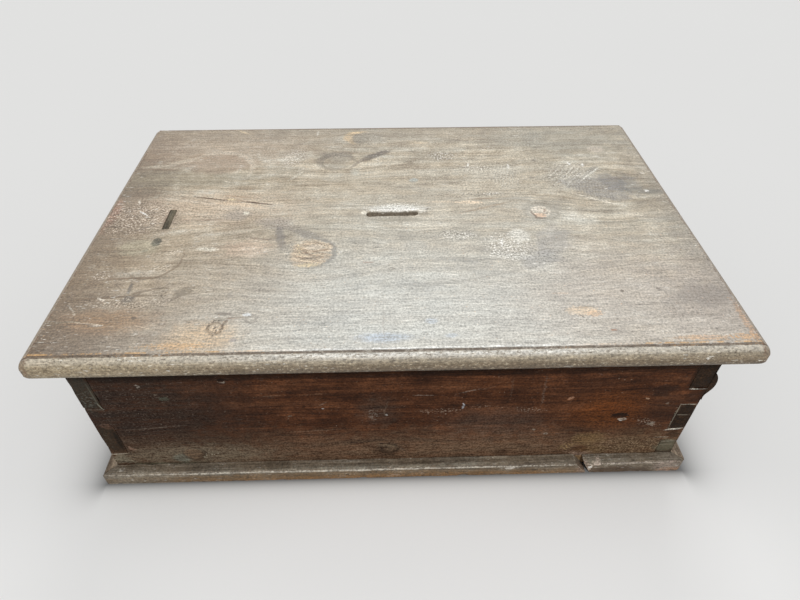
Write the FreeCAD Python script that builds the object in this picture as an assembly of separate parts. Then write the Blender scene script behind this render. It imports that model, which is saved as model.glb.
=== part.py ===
import FreeCAD, Part
import math
import os

# An antique wooden candle box: a dovetailed carcase on a nailed plinth, under an overhanging
# lid with a thumb-moulded edge that turns on two iron butt hinges at the back.
#
# Frame: millimetres, +X to the box's right, +Y to its back, +Z up. The origin lies on the
# floor under the middle of the lid.

# ---------------------------------------------------------------- driving dimensions, mm
# Lid
lid_length = 700.0
lid_depth = 453.0
lid_thickness = 23.0
moulding_set_back = 10.3
moulding_quirk = 1.4
nose_radius = 8.0
lid_back_arris = 1.5
lid_front_corner_radius = 7.0
lid_back_corner_radius = 5.0

# How far the lid stands out past the carcase
front_overhang = 24.6
back_overhang = 18.0
left_overhang = 22.4
right_overhang = 26.8

# Slot cut through the lid for coins or letters, and an old mortise filled with a plug
slot_length = 61.3
slot_width = 9.5
slot_x = -2.6
slot_y = 3.5
mortise_length = 40.0
mortise_width = 7.6
mortise_depth = 15.0
mortise_inset = 84.2
mortise_y = -1.2
plug_recess = 0.8

# Carcase
wall_thickness = 19.5
wall_height = 185.5
bottom_thickness = 15.0
front_bottom_board_width = 206.0
bottom_board_gap = 0.6

# Dovetails: pin, tail, pin ... in turn down from the top edge, as parts of the wall's height
front_left_layout = (75.5, 32.0, 50.0, 21.0, 7.0)
front_right_layout = (62.5, 26.0, 46.0, 22.0, 29.0)
back_layout = (32.0, 40.0, 40.0, 42.0, 31.5)
dovetail_slope = 0.12

# Plinth: a strip with a rounded arris round the front and both ends, its front strip
# broken near the right end
plinth_height = 19.5
plinth_projection = 14.0
plinth_arris_radius = 4.5
plinth_left_corner_radius = 3.0
plinth_right_corner_radius = 9.0
short_strip_length = 112.5
break_gap = 3.0
long_strip_lean = 15.5
short_strip_lean = 8.5

# Ogee strip nailed on the right end, under the lid
ogee_bottom = 119.0
ogee_top = 182.0
ogee_lower_edge = 0.8
ogee_cove_height = 15.0
ogee_cove_projection = 4.2
ogee_swell_height = 26.5
ogee_projection = 6.8
ogee_quirk_height = 44.0
ogee_fillet_height = 46.5
ogee_fillet = 1.6

# Battens under the lid
batten_width = 45.0
batten_thickness = 16.0
batten_chamfer = 3.0
batten_end_clearance = 8.0
batten_inset = 48.0

# Hinges
hinge_length = 70.0
hinge_inset = 75.0
leaf_width = 15.0
leaf_thickness = 2.2
knuckle_radius = 4.0
knuckle_gap = 0.4
pin_radius = 2.0
pin_clearance = 0.05
pin_head_radius = 2.9
pin_head_height = 1.2
hinge_air = 0.5
screw_count = 3
screw_end_inset = 11.0
screw_shank_radius = 1.8
screw_head_radius = 3.5
screw_head_height = 1.7
screw_slot_width = 0.8
screw_slot_depth = 0.7
screw_clearance = 0.05
screw_sink = 0.15
wall_screw_length = 22.0
lid_screw_length = 14.0

# Nails: square in section, with low pyramid heads
nail_spacing = 112.0
nail_end_inset = 34.0
nail_shank = 2.6
nail_head = 6.0
nail_head_height = 1.2
nail_sink = 0.4
nail_point = 0.4
past_face = 1.0
bottom_nail_length = 42.0
batten_nail_length = 29.0
sprig_shank = 1.8
sprig_head = 3.4
sprig_head_height = 0.7
sprig_sink = 0.2
sprig_length = 20.0
sprig_height = 8.0
batten_nail_count = 3
ogee_nail_count = 3

# ---------------------------------------------------------------- places worked out from them
lid_left = -lid_length / 2.0
lid_right = lid_length / 2.0
lid_front = -lid_depth / 2.0
lid_back = lid_depth / 2.0
mortise_x = lid_left + mortise_inset
left_face = lid_left + left_overhang
right_face = lid_right - right_overhang
front_face = lid_front + front_overhang
back_face = lid_back - back_overhang
inner_left = left_face + wall_thickness
inner_right = right_face - wall_thickness
inner_front = front_face + wall_thickness
inner_back = back_face - wall_thickness
wall_foot = bottom_thickness
lid_seat = bottom_thickness + wall_height
axis_stand_off = knuckle_radius + hinge_air
axis_y = back_face + axis_stand_off
hinge_places = {
    "left": left_face + hinge_inset + hinge_length / 2.0,
    "right": right_face - hinge_inset - hinge_length / 2.0,
}
# The hinge's parts are drawn about its own axis and then moved to each of these places.
hinge_origins = {side: FreeCAD.Vector(x, axis_y, lid_seat) for side, x in hinge_places.items()}

UP = FreeCAD.Vector(0, 0, 1)
DOWN = FreeCAD.Vector(0, 0, -1)
RIGHT = FreeCAD.Vector(1, 0, 0)
LEFT = FreeCAD.Vector(-1, 0, 0)
BACK = FreeCAD.Vector(0, 1, 0)


# ---------------------------------------------------------------- helpers
def block(x_span, y_span, z_span):
    """A box between two values along each axis."""
    corner = FreeCAD.Vector(x_span[0], y_span[0], z_span[0])
    return Part.makeBox(x_span[1] - x_span[0], y_span[1] - y_span[0], z_span[1] - z_span[0], corner)


def rod(radius, length, start, direction):
    """A cylinder that starts at a point and runs along a direction."""
    return Part.makeCylinder(radius, length, start, direction)


def extruded(edges, travel):
    """The solid swept by a closed flat outline."""
    return Part.Face(Part.Wire(edges)).extrude(travel)


def polygon_prism(points, travel):
    """The solid swept by a closed polygon."""
    return Part.Face(Part.makePolygon(points + points[:1])).extrude(travel)


def line(start, end):
    """A straight edge."""
    return Part.LineSegment(start, end).toShape()


def arc(start, middle, end):
    """A round edge through three points."""
    return Part.Arc(start, middle, end).toShape()


def evenly(start, end, count):
    """Places spread evenly from one end to the other."""
    return [start + (end - start) * i / (count - 1.0) for i in range(count)]


def nail_places(start, end):
    """Nail places along a board, one near each end and the rest about a spacing apart."""
    first = start + nail_end_inset
    last = end - nail_end_inset
    count = max(2, int(round((last - first) / nail_spacing)) + 1)
    return evenly(first, last, count)


def square_wire(side, height):
    """A square about the Z axis."""
    h = side / 2.0
    corners = [(-h, -h), (h, -h), (h, h), (-h, h)]
    points = [FreeCAD.Vector(x, y, height) for x, y in corners]
    return Part.makePolygon(points + points[:1])


class Nail:
    """A kind of square nail, drawn along -Z with the underside of its head at the origin."""

    def __init__(self, shank, length, head, head_height, set_depth):
        self.shank = shank
        self.length = length
        self.head = head
        self.head_height = head_height
        self.set_depth = set_depth

    def taper(self):
        """The tapering shank."""
        wires = [square_wire(self.shank, 0), square_wire(self.shank * nail_point, -self.length)]
        return Part.makeLoft(wires, True)

    def body(self):
        """The whole nail, with its low pyramid head."""
        wires = [square_wire(self.head, 0), square_wire(self.head * nail_point, self.head_height)]
        return self.taper().fuse(Part.makeLoft(wires, True)).removeSplitter()

    def hole(self):
        """The hole it leaves: its shank, and a square pocket where its head is set in."""
        if self.set_depth <= 0:
            return self.taper()
        half = self.head / 2.0
        pocket = block((-half, half), (-half, half), (0.0, self.set_depth + past_face))
        return self.taper().fuse(pocket).removeSplitter()

    def driven_at(self, places, direction):
        """The nails and their holes, driven along a direction at places on a surface."""
        seats = [place + direction * self.set_depth for place in places]
        nails = [driven(self.body(), seat, direction) for seat in seats]
        holes = [driven(self.hole(), seat, direction) for seat in seats]
        return nails, holes


def driven(fastener, place, direction):
    """A fastener turned so that it is driven along a direction at a place."""
    turned = fastener.copy()
    turned.Placement = FreeCAD.Placement(place, FreeCAD.Rotation(DOWN, direction))
    return turned


def screw_form(length, grow):
    """A countersunk screw's outer form along -Z, with its head's top at the origin."""
    cone = Part.makeCone(screw_shank_radius + grow, screw_head_radius + grow, screw_head_height,
                         FreeCAD.Vector(0, 0, -screw_head_height), UP)
    shank = rod(screw_shank_radius + grow, length + grow, FreeCAD.Vector(0, 0, 0), DOWN)
    return cone.fuse(shank).removeSplitter()


def slotted_screw(length):
    """A countersunk screw with its driving slot."""
    slot = block((-screw_head_radius, screw_head_radius),
                 (-screw_slot_width / 2.0, screw_slot_width / 2.0),
                 (-screw_slot_depth, screw_slot_depth))
    return screw_form(length, 0.0).cut(slot)


def screw_hole(length):
    """The countersunk hole for a screw, open past the face above its head."""
    mouth = rod(screw_head_radius + screw_clearance, past_face, FreeCAD.Vector(0, 0, 0), UP)
    return screw_form(length, screw_clearance).fuse(mouth).removeSplitter()


# ---------------------------------------------------------------- dovetails
def pin_spans(layout):
    """The height span of each pin at its root, from the layout's pin, tail, pin ... parts."""
    spans = []
    top = lid_seat
    for index, part in enumerate(layout):
        bottom = top - wall_height * part / sum(layout)
        if index % 2 == 0:
            spans.append((bottom, top))
        top = bottom
    return spans


def pins(layout, root_x, tip_x, y_span):
    """The pins of one corner: wide at the inner face, narrow at the outer one."""
    narrowing = dovetail_slope * wall_thickness
    shapes = []
    for bottom, top in pin_spans(layout):
        tip_bottom = bottom if bottom < wall_foot + narrowing else bottom + narrowing
        tip_top = top if top > lid_seat - narrowing else top - narrowing
        outline = [
            FreeCAD.Vector(root_x, y_span[0], bottom),
            FreeCAD.Vector(tip_x, y_span[0], tip_bottom),
            FreeCAD.Vector(tip_x, y_span[0], tip_top),
            FreeCAD.Vector(root_x, y_span[0], top),
        ]
        shapes.append(polygon_prism(outline, FreeCAD.Vector(0, y_span[1] - y_span[0], 0)))
    return shapes


front_span = (front_face, inner_front)
back_span = (inner_back, back_face)
front_left_pins = pins(front_left_layout, inner_left, left_face, front_span)
front_right_pins = pins(front_right_layout, inner_right, right_face, front_span)
back_left_pins = pins(back_layout, inner_left, left_face, back_span)
back_right_pins = pins(back_layout, inner_right, right_face, back_span)


def tail_board(y_span, pin_shapes):
    """The front or back board, with sockets for the end boards' pins."""
    board = block((left_face, right_face), y_span, (wall_foot, lid_seat))
    return board.cut(pin_shapes)


def pin_board(x_span, pin_shapes):
    """An end board, with its pins."""
    board = block(x_span, (inner_front, inner_back), (wall_foot, lid_seat))
    return board.fuse(pin_shapes).removeSplitter()


# ---------------------------------------------------------------- hinges
def knuckle_spans():
    """The three knuckles along the hinge's axis: box leaf, lid leaf, box leaf."""
    width = (hinge_length - 2.0 * knuckle_gap) / 3.0
    starts = [-hinge_length / 2.0 + i * (width + knuckle_gap) for i in range(3)]
    return [(start, start + width) for start in starts]


def screw_places():
    """The screws' places on a leaf, about the hinge's axis."""
    end = hinge_length / 2.0 - screw_end_inset
    y = -axis_stand_off - leaf_width / 2.0
    return [FreeCAD.Vector(x, y, 0) for x in evenly(-end, end, screw_count)]


def leaf(spans, side):
    """A leaf about its axis; side is +1 for the lid's leaf, above the joint, or -1 below it."""
    plate_z = sorted((0.0, side * leaf_thickness))
    half = hinge_length / 2.0
    shape = block((-half, half), (-axis_stand_off - leaf_width, -axis_stand_off), plate_z)
    bores = []
    for start, end in spans:
        tongue = block((start, end), (-axis_stand_off, 0.0), plate_z)
        barrel = rod(knuckle_radius, end - start, FreeCAD.Vector(start, 0, 0), RIGHT)
        shape = shape.fuse([tongue, barrel])
        bores.append(rod(pin_radius + pin_clearance, end - start, FreeCAD.Vector(start, 0, 0), RIGHT))
    holes = [driven(screw_hole(2.0 * leaf_thickness), place + UP * side * screw_sink, UP * side)
             for place in screw_places()]
    return shape.cut(bores + holes).removeSplitter()


def hinge_pin():
    """The hinge's pin, with a peened head at each end."""
    half = hinge_length / 2.0
    start = FreeCAD.Vector(-half - pin_head_height, 0, 0)
    core = rod(pin_radius, hinge_length + 2.0 * pin_head_height, start, RIGHT)
    heads = [
        rod(pin_head_radius, pin_head_height, start, RIGHT),
        rod(pin_head_radius, pin_head_height, FreeCAD.Vector(half, 0, 0), RIGHT),
    ]
    return core.fuse(heads).removeSplitter()


def leaf_recess(side):
    """The shallow housing that a leaf and its tongues are let into."""
    half = hinge_length / 2.0
    return block((-half, half), (-axis_stand_off - leaf_width, 0.0),
                 sorted((0.0, side * leaf_thickness)))


def knuckle_groove():
    """The space that the lid leaves round the knuckles and the pin's heads."""
    reach = knuckle_radius + hinge_air
    half = hinge_length / 2.0 + pin_head_height + hinge_air
    return rod(reach, 2.0 * half, FreeCAD.Vector(-half, 0, 0), RIGHT)


def at_hinges(make):
    """Copies of a shape, drawn about the hinge's axis, at both hinges."""
    shapes = []
    for origin in hinge_origins.values():
        shape = make.copy()
        shape.translate(origin)
        shapes.append(shape)
    return shapes


def hinge_screws(length, side):
    """All screws of the two leaves on one side of the joint."""
    shapes = []
    for place in screw_places():
        set_place = place + UP * side * screw_sink
        shapes += at_hinges(driven(slotted_screw(length), set_place, UP * side))
    return shapes


def hinge_screw_holes(length, side):
    """The holes in the wood for those screws."""
    shapes = []
    for place in screw_places():
        set_place = place + UP * side * screw_sink
        shapes += at_hinges(driven(screw_hole(length), set_place, UP * side))
    return shapes


# ---------------------------------------------------------------- nails
bottom_nail = Nail(nail_shank, bottom_nail_length, nail_head, nail_head_height,
                   nail_head_height + nail_sink)
batten_nail = Nail(nail_shank, batten_nail_length, nail_head, nail_head_height, 0.0)
plinth_sprig = Nail(sprig_shank, sprig_length, sprig_head, sprig_head_height,
                    sprig_head_height + sprig_sink)
ogee_sprig = Nail(sprig_shank, wall_thickness, sprig_head, sprig_head_height,
                  sprig_head_height + sprig_sink)


def bottom_nailing():
    """Nails up through the bottom boards into the walls, and their holes."""
    mid = wall_thickness / 2.0
    places = []
    for x in nail_places(left_face, right_face):
        places += [(x, front_face + mid), (x, back_face - mid)]
    for y in nail_places(inner_front, inner_back):
        places += [(left_face + mid, y), (right_face - mid, y)]
    return bottom_nail.driven_at([FreeCAD.Vector(x, y, 0) for x, y in places], UP)


def plinth_nailing():
    """Small nails through the plinth strips into the bottom boards' edges, and their holes."""
    out = plinth_projection
    break_x = right_face + out - short_strip_length
    front_x = nail_places(left_face, break_x - break_gap - long_strip_lean)
    front_x += evenly(break_x + nail_end_inset, right_face - nail_end_inset / 2.0, 2)
    front_places = [FreeCAD.Vector(x, front_face - out, sprig_height) for x in front_x]
    end_y = nail_places(front_face, back_face)
    left_places = [FreeCAD.Vector(left_face - out, y, sprig_height) for y in end_y]
    right_places = [FreeCAD.Vector(right_face + out, y, sprig_height) for y in end_y]
    nails = []
    holes = []
    for places, direction in ((front_places, BACK), (left_places, RIGHT), (right_places, LEFT)):
        more_nails, more_holes = plinth_sprig.driven_at(places, direction)
        nails += more_nails
        holes += more_holes
    return nails, holes


def ogee_nailing():
    """Small nails through the ogee strip into the right end board, and their holes."""
    height = ogee_bottom + ogee_swell_height
    along = evenly(front_face + nail_end_inset, back_face - nail_end_inset, ogee_nail_count)
    places = [FreeCAD.Vector(right_face + ogee_projection, y, height) for y in along]
    return ogee_sprig.driven_at(places, LEFT)


def batten_nailing():
    """Nails up through the battens into the lid, and their holes."""
    first = inner_front + batten_end_clearance + nail_end_inset
    last = inner_back - batten_end_clearance - nail_end_inset
    height = lid_seat - batten_thickness
    places = [FreeCAD.Vector(x, y, height)
              for x in batten_middles().values()
              for y in evenly(first, last, batten_nail_count)]
    return batten_nail.driven_at(places, UP)


# ---------------------------------------------------------------- carcase, plinth and ogee strip
def bottom_board(y_span):
    """One of the two boards under the walls."""
    return block((left_face, right_face), y_span, (0.0, bottom_thickness))


def plinth_outline():
    """The plinth's rounded plan, as a tall prism."""
    left = left_face - plinth_projection
    right = right_face + plinth_projection
    front = front_face - plinth_projection
    solid = block((left, right), (front, back_face), (0.0, plinth_height))
    rounded = []
    for edge in solid.Edges:
        low, high = edge.Vertexes[0].Point, edge.Vertexes[1].Point
        upright = abs(low.z - high.z) > plinth_height / 2.0
        if upright and abs(low.y - front) < plinth_projection:
            rounded.append((edge, low.x))
    solid = solid.makeFillet(plinth_left_corner_radius, [e for e, x in rounded if x < 0])
    right_edges = []
    for edge in solid.Edges:
        ends = [v.Point for v in edge.Vertexes]
        if len(ends) == 2 and all(abs(p.x - right) < 1e-6 and abs(p.y - front) < 1e-6 for p in ends):
            right_edges.append(edge)
    return solid.makeFillet(plinth_right_corner_radius, right_edges)


def plinth_section(place, outward, travel):
    """A length of plinth strip: flat on top with a rounded arris, its back at a wall's face."""
    def point(out, height):
        return place + outward * out + UP * height

    r = plinth_arris_radius
    out = plinth_projection
    top = plinth_height
    diagonal = r * (1.0 - math.sqrt(0.5))
    edges = [
        line(point(0, 0), point(out, 0)),
        line(point(out, 0), point(out, top - r)),
        arc(point(out, top - r), point(out - diagonal, top - diagonal), point(out - r, top)),
        line(point(out - r, top), point(0, top)),
        line(point(0, top), point(0, 0)),
    ]
    return extruded(edges, travel)


def mitred(strip, plan):
    """A strip cut to a plan with mitred corners and then to the plinth's rounded outline."""
    points = [FreeCAD.Vector(x, y, 0) for x, y in plan]
    return strip.common(polygon_prism(points, UP * plinth_height)).common(plinth_outline())


def plinth_strips():
    """The plinth's four pieces: two along the front, one on each end."""
    out = plinth_projection
    left, right, front = left_face - out, right_face + out, front_face - out
    front_strip = mitred(
        plinth_section(FreeCAD.Vector(left, front_face, 0), BACK * -1.0, RIGHT * (right - left)),
        [(left, front), (right, front), (right_face, front_face), (left_face, front_face)])
    left_strip = mitred(
        plinth_section(FreeCAD.Vector(left_face, front, 0), LEFT, BACK * (back_face - front)),
        [(left, front), (left_face, front_face), (left_face, back_face), (left, back_face)])
    right_strip = mitred(
        plinth_section(FreeCAD.Vector(right_face, front, 0), RIGHT, BACK * (back_face - front)),
        [(right, front), (right, back_face), (right_face, back_face), (right_face, front_face)])

    # Each sloping end at the break is the face of a wedge that runs off past the strip's end.
    short_foot = right - short_strip_length
    long_foot = short_foot - break_gap

    def beyond(foot, lean, far):
        points = [FreeCAD.Vector(x, front - past_face, z) for x, z in
                  ((foot, 0.0), (foot - lean, plinth_height), (far, plinth_height), (far, 0.0))]
        return polygon_prism(points, BACK * (out + 2.0 * past_face))

    long_strip = front_strip.cut(beyond(long_foot, long_strip_lean, right + past_face))
    short_strip = front_strip.common(beyond(short_foot, short_strip_lean, right + past_face))
    return long_strip, short_strip, left_strip, right_strip


def ogee_strip():
    """The moulded strip on the right end: a cove, a round swell, a quirk and a flat fillet."""
    def point(out, height):
        return FreeCAD.Vector(right_face + out, front_face, ogee_bottom + height)

    top = ogee_top - ogee_bottom
    cove_middle = point(ogee_lower_edge + (ogee_cove_projection - ogee_lower_edge) * 0.3,
                        ogee_cove_height * 0.55)
    edges = [
        line(point(0, 0), point(ogee_lower_edge, 0)),
        arc(point(ogee_lower_edge, 0), cove_middle, point(ogee_cove_projection, ogee_cove_height)),
        arc(point(ogee_cove_projection, ogee_cove_height), point(ogee_projection, ogee_swell_height),
            point(ogee_lower_edge, ogee_quirk_height)),
        line(point(ogee_lower_edge, ogee_quirk_height), point(ogee_fillet, ogee_fillet_height)),
        line(point(ogee_fillet, ogee_fillet_height), point(ogee_fillet, top)),
        line(point(ogee_fillet, top), point(0, top)),
        line(point(0, top), point(0, 0)),
    ]
    return extruded(edges, BACK * (back_face - front_face))


# ---------------------------------------------------------------- lid
def nose_edges(place, inward):
    """The lid's moulded edge in section: round nose below, flatter round above, then a quirk."""
    def point(inset, height):
        return place + inward * inset + UP * height

    r = nose_radius
    rise = lid_thickness - moulding_quirk - r
    upper = (moulding_set_back ** 2 + rise ** 2) / (2.0 * moulding_set_back)
    half_turn = math.asin(rise / upper) / 2.0
    quarter = r * (1.0 - math.sqrt(0.5))
    quirk = moulding_set_back
    return [
        arc(point(r, 0), point(quarter, quarter), point(0, r)),
        arc(point(0, r), point(upper * (1.0 - math.cos(half_turn)), r + upper * math.sin(half_turn)),
            point(quirk, r + rise)),
        line(point(quirk, r + rise), point(quirk, lid_thickness)),
    ]


def lid_front_to_back():
    """The lid's section from front to back, swept along its length."""
    start = FreeCAD.Vector(lid_left, lid_front, lid_seat)

    def point(y, height):
        return start + BACK * y + UP * height

    a = lid_back_arris
    diagonal = a * (1.0 - math.sqrt(0.5))
    top = lid_thickness
    edges = nose_edges(start, BACK) + [
        line(point(moulding_set_back, top), point(lid_depth - a, top)),
        arc(point(lid_depth - a, top), point(lid_depth - diagonal, top - diagonal),
            point(lid_depth, top - a)),
        line(point(lid_depth, top - a), point(lid_depth, 0)),
        line(point(lid_depth, 0), point(nose_radius, 0)),
    ]
    return extruded(edges, RIGHT * lid_length)


def lid_side_to_side():
    """The lid's section from end to end, swept along its depth."""
    left = FreeCAD.Vector(lid_left, lid_front, lid_seat)
    right = FreeCAD.Vector(lid_right, lid_front, lid_seat)
    set_back = RIGHT * moulding_set_back
    nose = RIGHT * nose_radius
    top = UP * lid_thickness
    edges = nose_edges(left, RIGHT) + nose_edges(right, LEFT) + [
        line(left + set_back + top, right - set_back + top),
        line(left + nose, right - nose),
    ]
    outline = Part.Wire(Part.__sortEdges__(edges))
    return Part.Face(outline).extrude(BACK * lid_depth)


def lid_plan():
    """The lid's plan with its corners rounded, as a prism."""
    solid = block((lid_left, lid_right), (lid_front, lid_back), (lid_seat, lid_seat + lid_thickness))
    for y, radius in ((lid_front, lid_front_corner_radius), (lid_back, lid_back_corner_radius)):
        uprights = [e for e in solid.Edges
                    if len(e.Vertexes) == 2 and all(abs(v.Point.y - y) < 1e-6 for v in e.Vertexes)
                    and abs(e.Vertexes[0].Point.z - e.Vertexes[1].Point.z) > lid_thickness / 2.0]
        solid = solid.makeFillet(radius, uprights)
    return solid


def lid_slot():
    """The round-ended slot through the lid."""
    end = slot_width / 2.0
    half = slot_length / 2.0 - end
    low = lid_seat - past_face
    height = lid_thickness + 2.0 * past_face
    middle = block((slot_x - half, slot_x + half), (slot_y - end, slot_y + end), (low, low + height))
    ends = [rod(end, height, FreeCAD.Vector(slot_x + dx, slot_y, low), UP) for dx in (-half, half)]
    return middle.fuse(ends).removeSplitter()


def mortise_block(top):
    """A block of the mortise's plan, from its floor up to a height."""
    x = mortise_width / 2.0
    y = mortise_length / 2.0
    floor = lid_seat + lid_thickness - mortise_depth
    return block((mortise_x - x, mortise_x + x), (mortise_y - y, mortise_y + y), (floor, top))


def batten_middles():
    """Where the battens' centre lines lie."""
    reach = batten_inset + batten_width / 2.0
    return {"left": inner_left + reach, "right": inner_right - reach}


def batten(x):
    """A batten under the lid, with its two lower long edges chamfered."""
    half = batten_width / 2.0
    low = lid_seat - batten_thickness
    c = batten_chamfer
    start = inner_front + batten_end_clearance
    section = [(x - half + c, low), (x + half - c, low), (x + half, low + c),
               (x + half, lid_seat), (x - half, lid_seat), (x - half, low + c)]
    points = [FreeCAD.Vector(px, start, pz) for px, pz in section]
    return polygon_prism(points, BACK * (inner_back - batten_end_clearance - start))


def lid_board(nail_holes):
    """The lid, moulded on three edges, with its slot, mortise, hinge housings and nail holes."""
    board = lid_front_to_back().common(lid_side_to_side()).common(lid_plan())
    cutters = [lid_slot(), mortise_block(lid_seat + lid_thickness + past_face)]
    cutters += at_hinges(leaf_recess(1))
    cutters += at_hinges(knuckle_groove())
    cutters += hinge_screw_holes(lid_screw_length, 1)
    return board.cut(cutters + nail_holes)


# ---------------------------------------------------------------- the whole box
def build():
    """Every piece of the box by its name."""
    bottom_nails, bottom_holes = bottom_nailing()
    plinth_sprigs, plinth_holes = plinth_nailing()
    ogee_sprigs, ogee_holes = ogee_nailing()
    batten_nails, batten_holes = batten_nailing()
    carcase_holes = bottom_holes + plinth_holes + ogee_holes

    nodes = {}
    nodes["front_board"] = tail_board(front_span, front_left_pins + front_right_pins).cut(carcase_holes)
    back_board = tail_board(back_span, back_left_pins + back_right_pins)
    back_cutters = at_hinges(leaf_recess(-1)) + hinge_screw_holes(wall_screw_length, -1)
    nodes["back_board"] = back_board.cut(back_cutters + carcase_holes)
    nodes["left_end_board"] = pin_board((left_face, inner_left),
                                        front_left_pins + back_left_pins).cut(carcase_holes)
    nodes["right_end_board"] = pin_board((inner_right, right_face),
                                         front_right_pins + back_right_pins).cut(carcase_holes)

    bottom_joint = front_face + front_bottom_board_width
    nodes["bottom_board_front"] = bottom_board((front_face, bottom_joint)).cut(carcase_holes)
    nodes["bottom_board_rear"] = bottom_board(
        (bottom_joint + bottom_board_gap, back_face)).cut(carcase_holes)

    long_strip, short_strip, left_strip, right_strip = plinth_strips()
    nodes["plinth_front_long"] = long_strip.cut(plinth_holes)
    nodes["plinth_front_short"] = short_strip.cut(plinth_holes)
    nodes["plinth_left"] = left_strip.cut(plinth_holes)
    nodes["plinth_right"] = right_strip.cut(plinth_holes)
    nodes["right_end_ogee_strip"] = ogee_strip().cut(ogee_holes)
    nodes["bottom_nails"] = Part.makeCompound(bottom_nails)
    nodes["plinth_sprigs"] = Part.makeCompound(plinth_sprigs)
    nodes["ogee_sprigs"] = Part.makeCompound(ogee_sprigs)

    first, middle, last = knuckle_spans()
    for side, origin in hinge_origins.items():
        pieces = {
            "hinge_%s_box_leaf" % side: leaf([first, last], -1),
            "hinge_%s_lid_leaf" % side: leaf([middle], 1),
            "hinge_%s_pin" % side: hinge_pin(),
        }
        for name, shape in pieces.items():
            shape.translate(origin)
            nodes[name] = shape
    nodes["hinge_box_screws"] = Part.makeCompound(hinge_screws(wall_screw_length, -1))
    nodes["hinge_lid_screws"] = Part.makeCompound(hinge_screws(lid_screw_length, 1))

    nodes["lid_board"] = lid_board(batten_holes)
    nodes["lid_mortise_plug"] = mortise_block(lid_seat + lid_thickness - plug_recess)
    for side, x in batten_middles().items():
        nodes["lid_batten_%s" % side] = batten(x).cut(batten_holes)
    nodes["lid_batten_nails"] = Part.makeCompound(batten_nails)
    return nodes


def main():
    """Builds every piece, reports it and writes it to its own file."""
    os.makedirs("parts", exist_ok=True)
    for name, shape in build().items():
        solids = len(shape.Solids)
        print("%-24s solids %2d  volume %10.1f  valid %s" % (name, solids, shape.Volume, shape.isValid()))
        shape.exportStep("parts/%s.step" % name)
    open_limit = 90.0 + math.degrees(math.asin(axis_stand_off / (back_overhang - axis_stand_off)))
    print("hinge axis y %.1f z %.1f, lid meets the back board at %.1f degrees"
          % (axis_y, lid_seat, open_limit))


main()
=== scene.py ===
"""The looks of an antique wooden candle box: worn boards, aged wood and iron, a pale studio."""

import logging
import math
from dataclasses import dataclass, field, replace
from enum import Enum
from typing import Callable, Optional, Union

import bmesh
import bpy
from mathutils import Matrix, Vector, noise


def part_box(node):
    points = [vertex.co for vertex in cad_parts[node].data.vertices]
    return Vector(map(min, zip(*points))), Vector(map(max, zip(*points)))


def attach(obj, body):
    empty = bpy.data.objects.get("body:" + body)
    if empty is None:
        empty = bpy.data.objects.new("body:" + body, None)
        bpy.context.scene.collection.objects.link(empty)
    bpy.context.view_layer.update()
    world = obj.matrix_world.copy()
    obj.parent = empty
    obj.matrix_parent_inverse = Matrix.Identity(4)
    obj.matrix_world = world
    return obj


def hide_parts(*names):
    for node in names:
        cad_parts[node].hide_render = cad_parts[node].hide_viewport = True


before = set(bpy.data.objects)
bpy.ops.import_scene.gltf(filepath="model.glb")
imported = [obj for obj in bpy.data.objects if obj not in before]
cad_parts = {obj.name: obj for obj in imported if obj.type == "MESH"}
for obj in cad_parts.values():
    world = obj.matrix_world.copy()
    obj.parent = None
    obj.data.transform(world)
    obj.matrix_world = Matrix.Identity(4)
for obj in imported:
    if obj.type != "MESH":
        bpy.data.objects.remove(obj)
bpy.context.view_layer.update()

LOG = logging.getLogger("candle_box")
MM = 0.001

# Where the box's main faces lie, in mm
LID_TOP = 223.5
LID_UNDERSIDE = 200.5
LID_END = 350.0
LID_SIDE = 226.5
QUIRK_INSET = 10.3
FRONT_FACE = -201.9
RIGHT_FACE = 323.2
BACK_FACE = 208.5
PLINTH_TOP = 19.5
PLINTH_FRONT = -215.9
PLINTH_LEFT = -341.6
PLINTH_RIGHT = 337.2

# Where the middles of the lid's openings and of the hinges lie, in mm
SLOT = (-2.6, 3.5)
SLOT_HALF_LENGTH = 30.65
MORTISE = (-265.8, -1.2)
HINGES = (-217.6, 213.2)

# How many features the wood's noises have in a metre, the first three of them along the grain
FIBRES = 60.0
STREAKS = 16.0
GROWTH_BANDS = 2.4
SPECKS = 430.0
BLOTCHES = 26.0
COARSE_FRAYS = 95.0
FINE_FRAYS = 420.0

# The same for noises that differ along and across the grain
HUE_DRIFT = (16.0, 70.0)
PALE_FLECKS = (120.0, 620.0)
NOSE_PORES = (260.0, 520.0)

# How strongly the noises that fray an edge are spread about zero
FRAY_GAIN = 2.4

# How the wood's lines wander: features in a metre along and across the grain, detail, and reach in metres
WANDERS = ((2.2, 9.0, 2.0, 0.008), (13.0, 40.0, 1.0, 0.0025))

# How deep marks, the bites out of them, knots and their rings reach, in metres, and the half width, in mm,
# beyond which the edge of a mark frays coarsely
MARK_DEPTH = 0.010
BITE_DEPTH = 0.05
KNOT_DEPTH = 0.04
RING_DEPTH = 0.012
BROAD_MARK = 7.0

# The wear of a board: features in a metre of its uneven faces and of the nicks in its arrises, the share of
# the finer nicks, where nicks start and how strongly they bite
UNEVEN_SCALE = 14.0
NICK_SCALES = (60.0, 170.0)
FINE_NICKS = 0.6
NICK_FROM = 0.1
NICK_GAIN = 1.6

# Angles between faces, in degrees, and lengths, in metres, that decide what is done to edges and points
SHARP_EDGE = 32.0
SMOOTH_EDGE = 46.0
FLAT_EDGE = 0.3
HOLE_EDGE = 0.003
WELD = 2e-6

Rgb = tuple[int, int, int]
Pair = tuple[float, float]


class Axis(Enum):
    """A direction of the frame."""

    X = 0
    Y = 1
    Z = 2


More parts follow.
